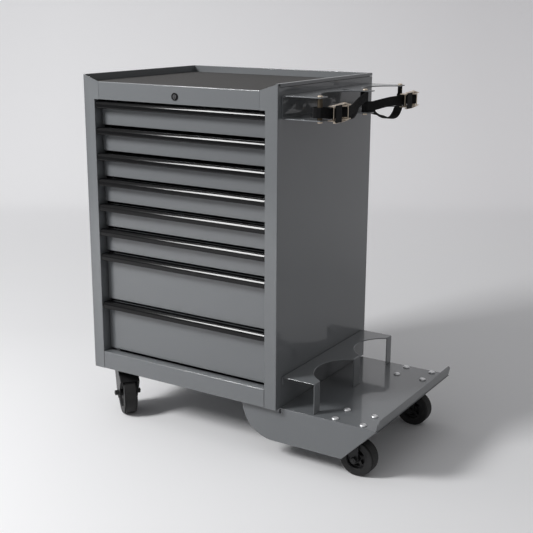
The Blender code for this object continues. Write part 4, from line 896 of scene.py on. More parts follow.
under, near, back = -GAP, PLATFORM_INSET, DEPTH - PLATFORM_INSET
top, end, rise = PLATFORM_TOP, PLATFORM_END, WIDTH + PLATFORM_STEP
notch, lip, tip, bottom = rise - NOTCH[0], end + LIP_LEAN, top + LIP_HEIGHT, -APRON_DEPTH
panels = [[(rise, near, top), (end, near, top), (end, back, top), (rise, back, top)],
          [(WIDTH, near, under), (rise, near, top), (rise, back, top), (WIDTH, back, under)],
          [(PLATFORM_START, near, under), (notch, near, under), (WIDTH, near, under),
           (WIDTH, back, under), (notch, back, under), (PLATFORM_START, back, under)],
          [(end, near, top), (end, back, top), (lip, back, tip - LIP_CORNER),
           (lip, back - LIP_CORNER, tip), (lip, near + LIP_CORNER, tip),
           (lip, near, tip - LIP_CORNER)]]
nose_curve = arc((PLATFORM_START + APRON_ROUND, bottom + APRON_ROUND), APRON_ROUND, 180, 270, 40)
for y in (near, back):
    apron = [(PLATFORM_START, y, under)] + [(x, y, z) for x, z in nose_curve]
    apron += [(SLANT_START, y, bottom), (end, y, top), (rise, y, top), (rise, y, top - NOTCH[1]),
              (notch, y, top - NOTCH[1]), (notch, y, under)]
    panels.append(apron)
holes = [drill(x, y, top - 3 * PLATE, top + PLATE, BOLT_HOLE_RADIUS)
         for place, _ in FIXED_PLACES.values()
         for x, y in corners_of(FIXED_X, place, FIXED_BOLTS[::-1])]
platform = folded("platform_plate", panels, PLATE, PLATFORM_BEND, 5, holes, PLATFORM_EDGE)
add_piece("platform_plate", platform, slate.material, "cabinet", ["platform"])


# The bottle shelf: a plate with two round cut-outs, a flange on the cabinet and three legs, cut
# and folded from one blank, then powder coated.
SHELF_TOP = 0.0938
SHELF_REACH = 0.109
SHELF_START = 0.030
SHELF_LENGTH = 0.507
SHELF_FLANGE = 0.025
BOTTLES = ((0.167, 0.168, 0.120), (0.157, 0.409, 0.105))
SHELF_BEND = 0.004
PLATE_EDGE = 0.0014


def bottle_edge(start, end, tips):
    """The scalloped outer edge from one end to the other: three prongs, two round cut-outs."""
    line = [[(tips[0], start)]]
    for (x, y, radius), before, after in zip(BOTTLES, tips, tips[1:]):
        turn_start = 360 - math.degrees(math.acos((before - x) / radius))
        turn_end = math.degrees(math.acos((after - x) / radius))
        line.append(arc((x, y), radius, turn_start, turn_end, 56))
    return [(WIDTH + x, y) for x, y in np.vstack(line + [[(tips[2], end)]])]


wall, edge = WIDTH + GAP, WIDTH + SHELF_REACH
start, end = SHELF_START, SHELF_START + SHELF_LENGTH
scallops = bottle_edge(start, end, [SHELF_REACH] * 3)
panels = [[(wall, start, SHELF_TOP)] + [(x, y, SHELF_TOP) for x, y in scallops]
          + [(wall, end, SHELF_TOP)],
          [(wall, start, SHELF_TOP), (wall, end, SHELF_TOP), (wall, end, SHELF_TOP - SHELF_FLANGE),
           (wall, start, SHELF_TOP - SHELF_FLANGE)]]
prongs = [y for x, y in scallops if abs(x - edge) < 1e-9]
for a, b in zip(prongs[0::2], prongs[1::2]):
    panels.append([(edge, a, SHELF_TOP), (edge, b, SHELF_TOP), (edge, b, PLATFORM_TOP + GAP),
                   (edge, a, PLATFORM_TOP + GAP)])
shelf = folded("shelf_plate", panels, PLATE, SHELF_BEND, 6, (), PLATE_EDGE)
add_piece("shelf_plate", shelf, slate.material, "cabinet", ["bottle_shelf"])


# The upper bracket: a channel of the same plate on the cabinet's side. Both of its flanges have
# the bottle cut-outs, with a bolt through each prong and a hole for a torch in the top one.
BRACKET_TOP = 0.8915
BRACKET_HEIGHT = 0.0635
BRACKET_START = 0.018
BRACKET_LENGTH = 0.524
BRACKET_BEND = 0.006
SIDE_PRONG = 0.118
MIDDLE_PRONG = 0.132
TORCH_HOLE = (0.055, 0.290, 0.017)
POSTS = {"front": (0.109, 0.032), "middle": (0.111, 0.289), "rear": (0.109, 0.528)}
POST_RADIUS = 0.004
POST_HOLE_RADIUS = 0.0042

start, end = BRACKET_START, BRACKET_START + BRACKET_LENGTH
bracket_low = BRACKET_TOP - BRACKET_HEIGHT
scallops = bottle_edge(start, end, [SIDE_PRONG, MIDDLE_PRONG, SIDE_PRONG])
flanges = [[(wall, start, z)] + [(x, y, z) for x, y in scallops] + [(wall, end, z)]
           for z in (BRACKET_TOP, bracket_low)]
web = [(wall, start, bracket_low), (wall, start, BRACKET_TOP), (wall, end, BRACKET_TOP),
       (wall, end, bracket_low)]
holes = [drill(WIDTH + x, y, bracket_low - PLATE, BRACKET_TOP + PLATE, POST_HOLE_RADIUS)
         for x, y in POSTS.values()]
torch_x, torch_y, torch_radius = TORCH_HOLE
holes.append(drill(WIDTH + torch_x, torch_y, BRACKET_TOP - 2 * PLATE, BRACKET_TOP + PLATE,
                   torch_radius))
bracket = folded("bracket_channel", [flanges[0], web, flanges[1]], PLATE, BRACKET_BEND, 8, holes,
                 PLATE_EDGE)
add_piece("bracket_channel", bracket, slate.material, "cabinet", ["upper_bracket"])


# The strap posts: a bolt through each prong with a low round head, a hexagon nut below and a
# sleeve between the flanges that the webbing turns on. Yellow zinc; the front sleeve is the zinc
# darkened to a dark bronze, a painted shade, and the others are black.
SLEEVE_RADIUS = 0.007
SLEEVE_EDGE = 0.0007
HEAD_RADIUS = 0.0075
HEAD_HEIGHT = 0.0042
HEAD_RIM = 0.0011
CROWN_RADIUS = 0.0028
CROWN_CENTRE = (0.0034, 0.0012)
SOCKET_MOUTH = (0.0024, 0.0002)
SOCKET_FLOOR = (0.0021, 0.0012)
SHANK_SHY = 0.0002
POST_WASHER = 0.0013
POST_NUT_TOP = 0.0012
POST_NUT_EDGE = 0.0005
RIM_EASE = 0.0004
YELLOW_SHADES = (0.60, 0.50, 0.38), (0.80, 0.71, 0.59)
RAINBOW_SHADE = (0.66, 0.55, 0.50)
YELLOW_RELIEF = 0.00002
# The front sleeve's colours: the yellow zinc darkened, a painted shade.
SHADED_SLEEVE_SHADES = (0.055, 0.045, 0.033), (0.11, 0.088, 0.060)
SLEEVE_RELIEF = 0.00002

yellow = Finish("yellow_zinc", Metallic=1.0)
bath = yellow.noise(42.0, 3.0, 0.6)
rainbow = yellow.noise(120.0, 2.0)
tinge = (rainbow * 1.6 - 0.55).clipped() * 0.35
yellow.set(Base_Color=yellow.blend(tinge, yellow.blend(bath, *YELLOW_SHADES), RAINBOW_SHADE),
           Roughness=0.24 + bath * 0.16)
yellow.bump(yellow.noise(1300.0, 2.0), YELLOW_RELIEF, 0.5)

# The front sleeve: yellow zinc in a painted shade, darkened to a dark bronze.
shaded_sleeve_zinc = Finish("zinc_sleeve_in_painted_shade", Metallic=0.85)
shaded_sleeve_zinc.plain(SHADED_SLEEVE_SHADES, (70.0, 3.0), (0.34, 0.16), (1000.0, 2.0, SLEEVE_RELIEF, 0.4))


def hexagon(radius, turn=0.0):
    """A hexagon's outline inside a circle."""
    return arc((0, 0), radius, turn, turn + 300, 5)


def turned(name, profile, steps=48):
    """A closed mesh turned about Z from a profile whose ends lie on the axis."""
    return mesh_from(name, lathe(profile, steps))


def disc(radius, low, high, ease=RIM_EASE):
    """A turned disc's profile with eased rims."""
    return np.vstack([[(0, low)], arc((radius - ease, low + ease), ease, -90, 0, 3),
                      arc((radius - ease, high - ease), ease, 0, 90, 3), [(0, high)]])


def joined(name, *meshes):
    """One mesh that holds all of the given ones."""
    shape = bmesh.new()
    for mesh in meshes:
        shape.from_mesh(mesh)
    whole = bpy.data.meshes.new(name)
    shape.to_mesh(whole)
    shape.free()
    settle_mesh(whole)
    return whole


def set_at(mesh, pose):
    """The mesh itself after a pose."""
    mesh.transform(pose)
    return mesh


head, foot = BRACKET_TOP + GAP, bracket_low - GAP
crest = head + HEAD_HEIGHT
for name, (x, y) in POSTS.items():
    pose = CABINET @ Matrix.Translation((WIDTH + x, y, 0))
    cap = turned("cap", np.vstack([
        [(0, head), (HEAD_RADIUS, head), (HEAD_RADIUS, head + HEAD_RIM)],
        arc((HEAD_RADIUS - CROWN_CENTRE[0], head + CROWN_CENTRE[1]), CROWN_RADIUS, 8, 90, 8),
        [(radius, crest - depth) for radius, depth in (SOCKET_MOUTH, SOCKET_FLOOR)],
        [(0, crest - SOCKET_FLOOR[1])]]))
    shank = turned("shank", disc(POST_RADIUS, foot - HEAD_HEIGHT + SHANK_SHY, head + JOIN))
    nut = plate("nut", [hexagon(HEAD_RADIUS, 12)], foot - HEAD_HEIGHT, foot - POST_NUT_TOP,
                POST_NUT_EDGE)
    washer = turned("washer", disc(HEAD_RADIUS, foot - POST_WASHER, foot, CUT_EDGE))
    add_piece(f"post_bolt_{name}", joined("post_bolt", cap, shank, nut, washer), yellow.material,
              "cabinet", [f"strap_post_{name}"], pose)
    sleeve = turned("sleeve", disc(SLEEVE_RADIUS, bracket_low + PLATE + GAP,
                                   BRACKET_TOP - PLATE - GAP, SLEEVE_EDGE))
    # The front sleeve takes the zinc in painted shade, the others black gloss.
    sleeve_finish = shaded_sleeve_zinc if name == "front" else gloss
    add_piece(f"post_sleeve_{name}", sleeve, sleeve_finish.material, "cabinet",
              (), pose)


# The strap ratchets: two stamped frame plates joined by a riveted pin, a tie bar and a guide bar,
# a split spool with a toothed cog at each end, and a handle with a dark dipped grip. Yellow zinc.
RATCHETS = {"front": (0.811, 0.1265, 0.8470), "rear": (0.832, 0.5305, 0.8520)}
HALF_GAP = 0.0175
FRAME_PLATE = 0.002
FRAME_DEPTH = 0.026
FRAME_TAIL = 0.0735
FRAME_NOSE = 0.0245
FRAME_EDGE = 0.0005
PIN_PLACE = 0.058
PIN_RADIUS = 0.003
TIE_BAR_PLACE = 0.040
TIE_BAR_WIDTH = 0.010
TIE_BAR_ROUND = 0.0007
GUIDE_PLACE = 0.0114
GUIDE_RADIUS = 0.0014
PIN_RIVET = 0.0046
GUIDE_RIVET = 0.0024
GUIDE_RIVET_LIFT = 0.0008
RIVET_HEIGHT = 0.0006
SPOOL_RADIUS = 0.0070
SPOOL_END = 0.0040
SPOOL_CLEARANCE = 0.0003
SPOOL_SLOT = 0.0026
SPOOL_SLOT_ROUND = 0.0004
SPOOL_EDGE = 0.0006
COG_RADIUS = 0.0125
COG_TOOTH = 0.0025
COG_TEETH = 12
COG_ROOT = (0, 4)
COG_TIP = (22, 24)
COG_THICKNESS = 0.002
HANDLE_LENGTH = 0.076
HANDLE_EYE = 0.008
HANDLE_PLATE = 0.0016
HANDLE_EDGE = 0.0004
HANDLE_OFFSET = 0.0158
GRIP_START = 0.042
GRIP_DROP = 0.0090
GRIP_ROUND = 0.0006
GRIP_EDGE = 0.0005
GRIP_SHY = 0.0002
GRIP_SHADES = (0.003, 0.003, 0.0033), (0.007, 0.007, 0.0074)
GRIP_RELIEF = 0.00008

grip_black = Finish("grip_black", Specular_IOR_Level=0.06)
grip_black.plain(GRIP_SHADES, (55.0, 4.0), (0.34, 0.22), (800.0, 3.0, GRIP_RELIEF, 0.6))


def rod(radius, start, end):
    """A turned rod's mesh between two points."""
    start, end = Vector(start), Vector(end)
    turn = (end - start).to_track_quat("Z", "Y").to_matrix().to_4x4()
    return mesh_from("rod", moved(lathe(disc(radius, 0, (end - start).length), 32),
                                  Matrix.Translation(start) @ turn))


def rivet(radius, height, level, way):
    """A low domed head that sits on a plate, above or below it."""
    rise = np.linspace(0, math.pi / 2, 9)
    profile = np.stack([radius * np.cos(rise), level + way * height * np.sin(rise)], -1)
    return np.vstack([[(0, level)], profile[:-1], [(0, level + way * height)]])


for name, (x, y, level) in RATCHETS.items():
    pose = CABINET @ Matrix.Translation((x, y, level)) @ Matrix.Rotation(math.pi / 2, 4, "Z")
    half, deep, outer = HALF_GAP, FRAME_DEPTH / 2, HALF_GAP + FRAME_PLATE

    # The frame: both side plates, the pin, the guide bar, the tie bar and the rivets' heads.
    hole = arc((0, 0), SPOOL_END + SPOOL_CLEARANCE, 0, 348, 29)
    outline = np.vstack([
        arc((FRAME_NOSE - deep, 0), deep, -90, 90, 24),
        arc((-FRAME_TAIL + deep / 2, deep / 2), deep / 2, 90, 180, 12),
        arc((-FRAME_TAIL + deep / 2, -deep / 2), deep / 2, 180, 270, 12)])
    parts = [plate("side", [outline, hole], low, low + FRAME_PLATE, FRAME_EDGE, 3)
             for low in (half, -outer)]
    reach = half + FRAME_PLATE / 2
    parts.append(rod(PIN_RADIUS, (-PIN_PLACE, 0, -reach), (-PIN_PLACE, 0, reach)))
    parts.append(rod(GUIDE_RADIUS, (0, -GUIDE_PLACE, -reach), (0, -GUIDE_PLACE, reach)))
    bar_top, bar_half = deep - FRAME_PLATE / 2, TIE_BAR_WIDTH / 2
    bar = plate("tie_bar", [rounded_box((-TIE_BAR_PLACE - bar_half, bar_top - FRAME_PLATE),
                                        (-TIE_BAR_PLACE + bar_half, bar_top), TIE_BAR_ROUND, 3)],
                -reach, reach, 0.0)
    add_piece(f"ratchet_frame_{name}", joined("ratchet_frame", *parts), yellow.material,
              "cabinet", [f"ratchet_{name}_frame"], pose)
    add_piece(f"ratchet_tie_bar_{name}", bar, grip_black.material, "cabinet",
              (), pose)
    riveted = ((PIN_RIVET, (-PIN_PLACE, 0, 0)),
               (GUIDE_RIVET, (0, GUIDE_RIVET_LIFT - GUIDE_PLACE, 0)))
    heads = [set_at(turned("rivet", rivet(radius, RIVET_HEIGHT, way * outer, way), 32),
                    Matrix.Translation(at)) for way in (-1, 1) for radius, at in riveted]
    add_piece(f"ratchet_rivets_{name}", joined("rivets", *heads), bright.material, "cabinet",
              (), pose)

    # The spool: a slotted core on its shaft, with a cog outside each plate of the frame.
    shaft = outer + GAP + COG_THICKNESS + HANDLE_PLATE + 3 * GAP + JOIN
    core = turned("core", disc(SPOOL_RADIUS, GAP - half, half - GAP, SPOOL_EDGE))
    slot_cut = plate("slot_cut", [rounded_box((-2 * SPOOL_RADIUS, -SPOOL_SLOT / 2),
                                              (2 * SPOOL_RADIUS, SPOOL_SLOT / 2),
                                              SPOOL_SLOT_ROUND, 2)],
                     -half + FRAME_PLATE, half - FRAME_PLATE, 0.0)
    teeth = np.vstack([
        arc((0, 0), radius, *(turn * 360 / COG_TEETH + side for side in sides), 2)
        for turn in range(COG_TEETH)
        for radius, sides in ((COG_RADIUS - COG_TOOTH, COG_ROOT), (COG_RADIUS, COG_TIP))])
    spool = [applied(core, ("CUT", slot_cut), eased_edges(CUT_EDGE)),
             turned("shaft", disc(SPOOL_END, -shaft, shaft), 40)]
    spool += [plate("cog", [teeth], low, low + COG_THICKNESS)
              for low in (outer + GAP, -outer - GAP - COG_THICKNESS)]
    add_piece(f"ratchet_spool_{name}", joined("ratchet_spool", *spool), yellow.material,
              f"ratchet_{name}_spool_body", [f"ratchet_{name}_spool"], pose)

    # The handle: two arms that hang on the shaft outside the cogs, with the grip between them.
    grip_y = -HANDLE_OFFSET
    arm = np.vstack([[(-HANDLE_LENGTH, grip_y), (-GRIP_START, grip_y)],
                     arc((0, 0), HANDLE_EYE, -80, 110, 20),
                     [(-HANDLE_LENGTH, grip_y + GRIP_DROP)]])
    arm_low = outer + 2 * GAP + COG_THICKNESS
    arms = [plate("arm", [arm, hole], low, low + HANDLE_PLATE, HANDLE_EDGE)
            for low in (arm_low, -arm_low - HANDLE_PLATE)]
    add_piece(f"ratchet_arms_{name}", joined("arms", *arms), yellow.material,
              f"ratchet_{name}_handle_body", [f"ratchet_{name}_handle"], pose)
    reach = arm_low + HANDLE_PLATE
    grip = plate("grip", [rounded_box((-HANDLE_LENGTH, grip_y),
                                      (-GRIP_START, grip_y + HANDLE_PLATE), GRIP_ROUND, 4)],
                 GRIP_SHY - reach, reach - GRIP_SHY, GRIP_EDGE)
    add_piece(f"ratchet_grip_{name}", grip, grip_black.material, f"ratchet_{name}_handle_body",
              (), pose)


# The straps: 27.5 mm polyester webbing, woven in a fine herringbone with rounded edges. Each
# ratchet has a short piece round its pin and a post, and a long one from a post to its spool.
WEBBING_WIDTH = 0.0275
WEBBING_THICKNESS = 0.0016
WEBBING_SEAT = 0.0005
PIN_SEAT = 0.0004
SPOOL_TURN = 0.0085
STRAP_LEVELS = (0.8454, 0.8741)
WEBBING_STEPS = 12
WEBBING_FLATS = 15
HERRINGBONE_PITCH = 0.0045
HERRINGBONE_SKEW = 0.0012
RIB_PITCH = 0.0011
YARN_PITCH = 0.00125
WEAVE_SHADES = (0.0035, 0.0035, 0.004), (0.010, 0.010, 0.0105)
WEAVE_RELIEF = 0.00028

weave = Finish("black_webbing", Specular_IOR_Level=0.15, Sheen_Weight=0.04)
on_web = weave.node("UVMap", {"uv_map": "weave"})
along_web, across_web = (weave.node("SeparateXYZ", None, {0: on_web}, output=axis)
                         for axis in "XY")
rib = (along_web + across_web.wave(HERRINGBONE_PITCH) * HERRINGBONE_SKEW).wave(RIB_PITCH)
thread = rib * 0.65 + across_web.wave(YARN_PITCH) * 0.35
fuzz = weave.noise(2600.0, 2.0)
weave.set(Base_Color=weave.blend((thread * 0.8 + fuzz * 0.3 - 0.1).clipped(), *WEAVE_SHADES),
          Roughness=0.68 + thread * 0.2)
weave.bump(thread * 0.8 + fuzz * 0.2, WEAVE_RELIEF, 0.9)


def around(x, y, radius, angles, level):
    """Route points of an upright strap on a circle at the given angles, in degrees."""
    turn = np.radians(angles)
    return [(x + radius * math.cos(a), y + radius * math.sin(a), level, 0) for a in turn]


def beside(base, points):
    """Route points given by their offsets from a base point."""
    x, y, z = base
    return [(x + dx, y + dy, z + dz, lean) for dx, dy, dz, lean in points]


def between(start, end, points):
    """Route points given by a fraction of the way between two points and offsets in X and Z."""
    start, end = Vector(start), Vector(end)
    return [(*(start.lerp(end, part) + Vector((dx, 0, dz))), lean)
            for part, dx, dz, lean in points]


def ribbon(name, route):
    """Webbing along a smooth curve through the route's points.

    Each span is the Catmull-Rom cubic of its four nearest points. The section is a flat pill
    shape whose width leans from upright towards the left of the path by the route's angle.
    """
    route = np.array(route, float)
    points = np.vstack([route[:1], route, route[-1:]])
    a, b, c, d = (points[i:len(points) - 3 + i, None] for i in range(4))
    t = np.linspace(0, 1, WEBBING_STEPS, endpoint=False)[None, :, None]
    line = 0.5 * (2 * b + (c - a) * t + (2 * a - 5 * b + 4 * c - d) * t ** 2
                  + (3 * b - a - 3 * c + d) * t ** 3)
    line[..., 3:] = b[..., 3:] * (1 - t) + c[..., 3:] * t
    line = np.vstack([line.reshape(-1, 4), route[-1:]])
    place, lean = line[:, :3], np.radians(line[:, 3:])
    ahead = np.gradient(place, axis=0)
    ahead /= np.linalg.norm(ahead, axis=1, keepdims=True)
    left = np.cross((0, 0, 1), ahead)
    left /= np.linalg.norm(left, axis=1, keepdims=True)
    up = np.cross(ahead, left)
    wide = up * np.cos(lean) + left * np.sin(lean)
    thick = np.cross(ahead, wide)
    half, gauge = WEBBING_WIDTH / 2, WEBBING_THICKNESS / 2
    one = np.stack([np.linspace(-half + gauge, half - gauge, WEBBING_FLATS),
                    np.full(WEBBING_FLATS, gauge)], -1)
    tip_high = arc((half - gauge, 0), gauge, 90, -90, 6)[1:-1]
    section = np.vstack([one, tip_high, one[::-1] * (1, -1), tip_high[::-1] * (-1, 1)])
    mesh = mesh_from(name, swept(section, place, wide, thick))
    settle_mesh(mesh, 60.0)
    run = np.concatenate([[0], np.cumsum(np.linalg.norm(np.diff(place, axis=0), axis=1))])
    at_vertex = np.stack([np.repeat(run, len(section)), np.tile(section[:, 0], len(place))], -1)
    corner = np.zeros(len(mesh.loops), dtype=np.int32)
    mesh.loops.foreach_get("vertex_index", corner)
    mesh.uv_layers.new(name="weave").data.foreach_set("uv", at_vertex[corner].ravel())
    add_piece(name + "_webbing", mesh, weave.material, "cabinet", [name],
              weigh=False)


on_post = SLEEVE_RADIUS + WEBBING_THICKNESS / 2 + WEBBING_SEAT
on_pin = PIN_RADIUS + WEBBING_THICKNESS / 2 + PIN_SEAT
front, middle, rear = [(WIDTH + x, y) for x, y in POSTS.values()]
lower, upper = STRAP_LEVELS
spool_x, spool_y, level = RATCHETS["front"]

route = around(spool_x, spool_y - PIN_PLACE, on_pin, (-45, 0, 45, 90, 135, 180), level)
route += beside((*front, level), [(0.017, 0.024, 0, 0), (0.012, 0.012, 0.002, 0)])
route += around(*front, on_post, (-15, -45, -75), level + 0.004)
route += beside((*front, level), [
    (-0.006, -0.0115, 0.004, 0), (-0.013, -0.012, 0.004, 0), (-0.019, -0.005, 0.004, 0),
    (-0.019, 0.008, 0.004, 0), (-0.012, 0.022, 0.003, 0), (-0.001, 0.030, 0.002, 0),
    (0.0085, 0.033, 0, 0)])
ribbon("strap_front_short", route)

post = (*middle, upper)
route = beside(post, [(0.008, -0.044, 0, 0), (0.001, -0.030, 0, 0), (-0.0065, -0.014, 0, 0)])
route += around(*middle, on_post, (185, 140, 95, 50, 8), upper)
route += beside(post, [(0.010, -0.014, 0, 0)])
route += between(post, RATCHETS["front"], [
    (0.209, 0.0088, 0.0038, 0), (0.351, 0.0085, 0.0029, 0), (0.517, 0.0077, 0, 0),
    (0.683, 0.0078, -0.0031, 0), (0.837, 0.0088, -0.0034, 0)])
route += around(spool_x, spool_y, SPOOL_TURN, (0, -45, -90, -135, -180), level)
route += between(post, RATCHETS["front"], [
    (0.874, -0.0070, -0.0044, 0), (0.732, -0.0066, -0.0153, 0), (0.591, -0.0053, -0.0246, 0),
    (0.455, -0.0046, -0.0263, 0), (0.332, -0.0051, -0.0211, 0), (0.234, -0.0067, -0.0128, 0),
    (0.160, -0.0082, -0.0068, 0)])
ribbon("strap_front_long", route)

spool_x, spool_y, level = RATCHETS["rear"]
pin = (spool_x, spool_y - PIN_PLACE, level)
post = (*middle, lower)
route = around(*pin[:2], on_pin, (-45, 0, 45, 90, 135, 180), level)
route += between(post, pin, [
    (0.768, -0.0005, 0.0035, 0), (0.523, 0.0026, 0.0037, 0), (0.278, 0.0056, 0.0018, 0),
    (0.087, 0.0069, 0, 0)])
route += around(*middle, on_post, (-10, -55, -100, -145, -190), lower)
route += beside(post, [(-0.0055, 0.011, 0, 0), (-0.0005, 0.022, 0, 0), (0.006, 0.034, 0, 0),
                       (0.0112, 0.045, 0.001, 0)])
ribbon("strap_rear_short", route)

route = beside((*rear, level), [(0.0145, -0.0045, 0, 0), (0.008, -0.0075, 0, 0)])
route += around(*rear, on_post, (-90, -135, -180, -225, -270), level)
route += beside((*rear, level), [(0.010, 0.0092, 0, 0), (0.0215, 0.0105, 0, 0),
                                 (0.0325, 0.011, 0, 0)])
route += around(spool_x, spool_y, SPOOL_TURN, (90, 45, 0, -45), level)
route += beside(RATCHETS["rear"], [
    (-0.002, -0.014, 0, 0), (-0.0105, -0.0205, 0, 0), (-0.0185, -0.027, -0.0015, 5),
    (-0.0245, -0.034, -0.007, 35), (-0.0275, -0.0415, -0.0185, 80)])
route += between((*middle, level), RATCHETS["rear"], [
    (0.791, -0.0189, -0.0305, 90), (0.745, -0.0171, -0.0405, 90), (0.679, -0.0138, -0.0475, 90),
    (0.584, -0.0094, -0.0500, 90), (0.480, -0.0047, -0.0480, 90), (0.377, -0.0005, -0.0415, 90),
    (0.294, 0.0012, -0.0340, 95), (0.232, -0.0015, -0.0260, 125), (0.186, -0.0061, -0.0180, 155),
    (0.155, -0.0109, -0.0125, 175)])
ribbon("strap_rear_long", route)


# The wheels: a black rubber tyre with a raised tread between two grooves, moulded on a plastic
# core whose webs are thinned between five spokes. Each turns on a nutted axle bolt.
WHEEL_WIDTH = 0.042
WHEEL_BORE = 0.0043
WHEEL_HUB = 0.011
WHEEL_WEB = 0.022
WHEEL_MEMBRANE = 0.003
WHEEL_SIDE = 0.0225
WHEEL_SHOULDER = 0.004
SHOULDER_INSET = 0.0004
WHEEL_GROOVE = 0.0015
RUBBER_GAP = 0.0002
SIDE_LINE = ((0.0060, 0.0), (0.0064, 0.0004), (0.0070, 0.0004), (0.0074, 0.0))
TREAD_SEAT = ((0.0002, WHEEL_GROOVE), (0.0011, 0.0007), (0.0011, -0.0002))
TREAD_WIDTH = 0.033
TREAD_ROUND = 0.0010
TREAD_FOOT = (0.0009, 0.0003)
HUB_PLAY = 0.0008
HUB_ROUND = 0.0012
HUB_STEP = 0.0004
WEB_FILLET = 0.002
RIM_WALL = 0.0016
RIM_EDGE = 0.0010
SPOKES = 5
SPOKE_WIDTH = 0.0085
POCKET_MARGIN = 0.0025
POCKET_RIM = 0.003
POCKET_EDGE = 0.0006
AXLE_RADIUS = 0.004
AXLE_NUT_RADIUS = 0.0092
AXLE_NUT = 0.011
AXLE_END = 0.98
NUT_FACE = 0.86
NUT_CHAMFER = 0.16
AXLE_WASHER = 0.0016
OVERLAP = 0.001
FORK_PLATE = 0.0035
RUBBER_SHADES = (0.0085, 0.0085, 0.009), (0.019, 0.019, 0.0195)
RUBBER_RELIEF = 0.00009
TREAD_SHADES = (0.013, 0.013, 0.0135), (0.034, 0.033, 0.032)
TREAD_RELIEF = 0.00014
CORE_SHADES = (0.010, 0.010, 0.011), (0.022, 0.022, 0.023)
CORE_RELIEF = 0.00006
STEEL_SHADES = (0.0055, 0.0055, 0.006), (0.022, 0.022, 0.023)
STEEL_RELIEF = 0.00003

rubber = Finish("black_rubber", Specular_IOR_Level=0.4)
scuff = rubber.noise(30.0, 4.0)
dust = rubber.noise(1800.0, 2.0)
rubber.set(Base_Color=rubber.blend((scuff * 0.9 + dust * 0.4 - 0.25).clipped(), *RUBBER_SHADES),
           Roughness=0.40 + scuff * 0.22)
rubber.bump(dust * 0.5 + scuff * 0.5, RUBBER_RELIEF, 0.7)

tread = Finish("worn_tread", Specular_IOR_Level=0.4)
grit = tread.noise(900.0, 3.0)
roll_marks = tread.noise(16.0, 3.0)
tread.set(Base_Color=tread.blend((grit * 0.6 + roll_marks * 0.6 - 0.25).clipped(), *TREAD_SHADES),
          Roughness=0.56 + roll_marks * 0.2)
tread.bump(grit, TREAD_RELIEF, 0.8)

core_black = Finish("black_plastic_core", Specular_IOR_Level=0.5)
core_black.plain(CORE_SHADES, (24.0, 3.0), (0.36, 0.2), (700.0, 2.0, CORE_RELIEF, 0.6))

black_steel = Finish("black_electrocoat", Specular_IOR_Level=0.3, Coat_Weight=0.15)
film = black_steel.noise(26.0, 3.0)
rubbed = (film * 0.7 + black_steel.edges() * 0.8).clipped()
black_steel.set(Base_Color=black_steel.blend(rubbed, *STEEL_SHADES), Roughness=0.34 + film * 0.16)
black_steel.bump(black_steel.noise(1100.0, 2.0), STEEL_RELIEF, 0.6)


def spoke_gap(rim, turn):
    """A pocket's outline between two spokes, with even spoke sides and rounded corners."""
    inner, outer = WHEEL_HUB + POCKET_MARGIN, rim - POCKET_MARGIN
    step = 180 / SPOKES
    outline = []
    for radius, steps, way in ((outer, 10, 1), (inner, 4, -1)):
        reach = step - math.degrees(math.asin(SPOKE_WIDTH / 2 / radius))
        outline.append(arc((0, 0), radius, turn - way * reach, turn + way * reach, steps))
    return np.vstack(outline)


def ringed_both_ways(name, side):
    """A closed ring turned from one half of its section and that half's mirror image."""
    side = np.vstack(side)
    mirrored = (side * (1, -1))[::-1]
    if side[-1, 1] == 0.0:
        mirrored = mirrored[1:]
    return mesh_from(name, lathe(np.vstack([side, mirrored]), 96, closed=True))


def wheel(name, radius, hub_half, body, node, pose):
    """Tyre, tread band and spoked core, turned about the axle."""
    half, web, tread_half = WHEEL_WIDTH / 2, WHEEL_WEB / 2, TREAD_WIDTH / 2
    rim, corner, groove = radius - WHEEL_SIDE, WHEEL_SHOULDER, WHEEL_GROOVE
    lip = radius - groove
    tyre = ringed_both_ways("tyre", [
        [(rim + RUBBER_GAP, half - groove)],
        arc((rim + groove, half - groove), groove, 180, 90, 4)[1:],
        [(rim + out, half - deep) for out, deep in SIDE_LINE],
        arc((radius - corner - SHOULDER_INSET, half - corner), corner, 90, 24, 8),
        [(lip - deep, tread_half + out) for deep, out in TREAD_SEAT]])
    add_piece(f"{name}_tyre", tyre, rubber.material, body, [node], pose)
    band = ringed_both_ways("tread", [
        [(lip - TREAD_FOOT[0], tread_half - TREAD_FOOT[1])],
        arc((radius - TREAD_ROUND, tread_half - TREAD_ROUND), TREAD_ROUND, 60, 0, 4),
        [(radius, 0.0)]])
    add_piece(f"{name}_tread", band, tread.material, body, (), pose)
    flange, fillet, floor = half - groove - HUB_STEP, WEB_FILLET, web + WEB_FILLET
    blank = ringed_both_ways("core", [
        [(WHEEL_BORE, hub_half - HUB_STEP), (WHEEL_BORE + HUB_STEP, hub_half)],
        arc((WHEEL_HUB - HUB_ROUND, hub_half - HUB_ROUND), HUB_ROUND, 90, 0, 4),
        [(WHEEL_HUB + HUB_STEP, floor)],
        arc((WHEEL_HUB + HUB_STEP + fillet, floor), fillet, 180, 270, 4),
        arc((rim - RIM_WALL - fillet, floor), fillet, 270, 350, 4),
        [(rim - RIM_EDGE, flange), (rim, flange)]])
    pockets = []
    for turn in range(SPOKES):
        gap = spoke_gap(rim - POCKET_RIM, 360 * turn / SPOKES)
        pockets += [("CUT", plate("pocket", [gap], low, high, 0.0)) for low, high in
                    ((WHEEL_MEMBRANE / 2, half), (-half, -WHEEL_MEMBRANE / 2))]
    core = applied(blank, *pockets, eased_edges(POCKET_EDGE, angle=50.0))
    add_piece(f"{name}_core", core, core_black.material, body, (), pose)


def hex_end(radius, low, high, turn=0.0):
    """A hexagon nut or head with turned-down corners on its outer face."""
    blank = plate("hex", [hexagon(radius, turn)], min(low, high), max(low, high), 0.0)
    way = 1 if high > low else -1
    past, wide = low - way * OVERLAP, radius * 1.2
    cone = [(0, past), (wide, past), (wide, high - way * radius * NUT_CHAMFER),
            (radius * NUT_FACE, high), (0, high)]
    return applied(blank, ("KEEP", turned("cone", cone)), eased_edges(CUT_EDGE))


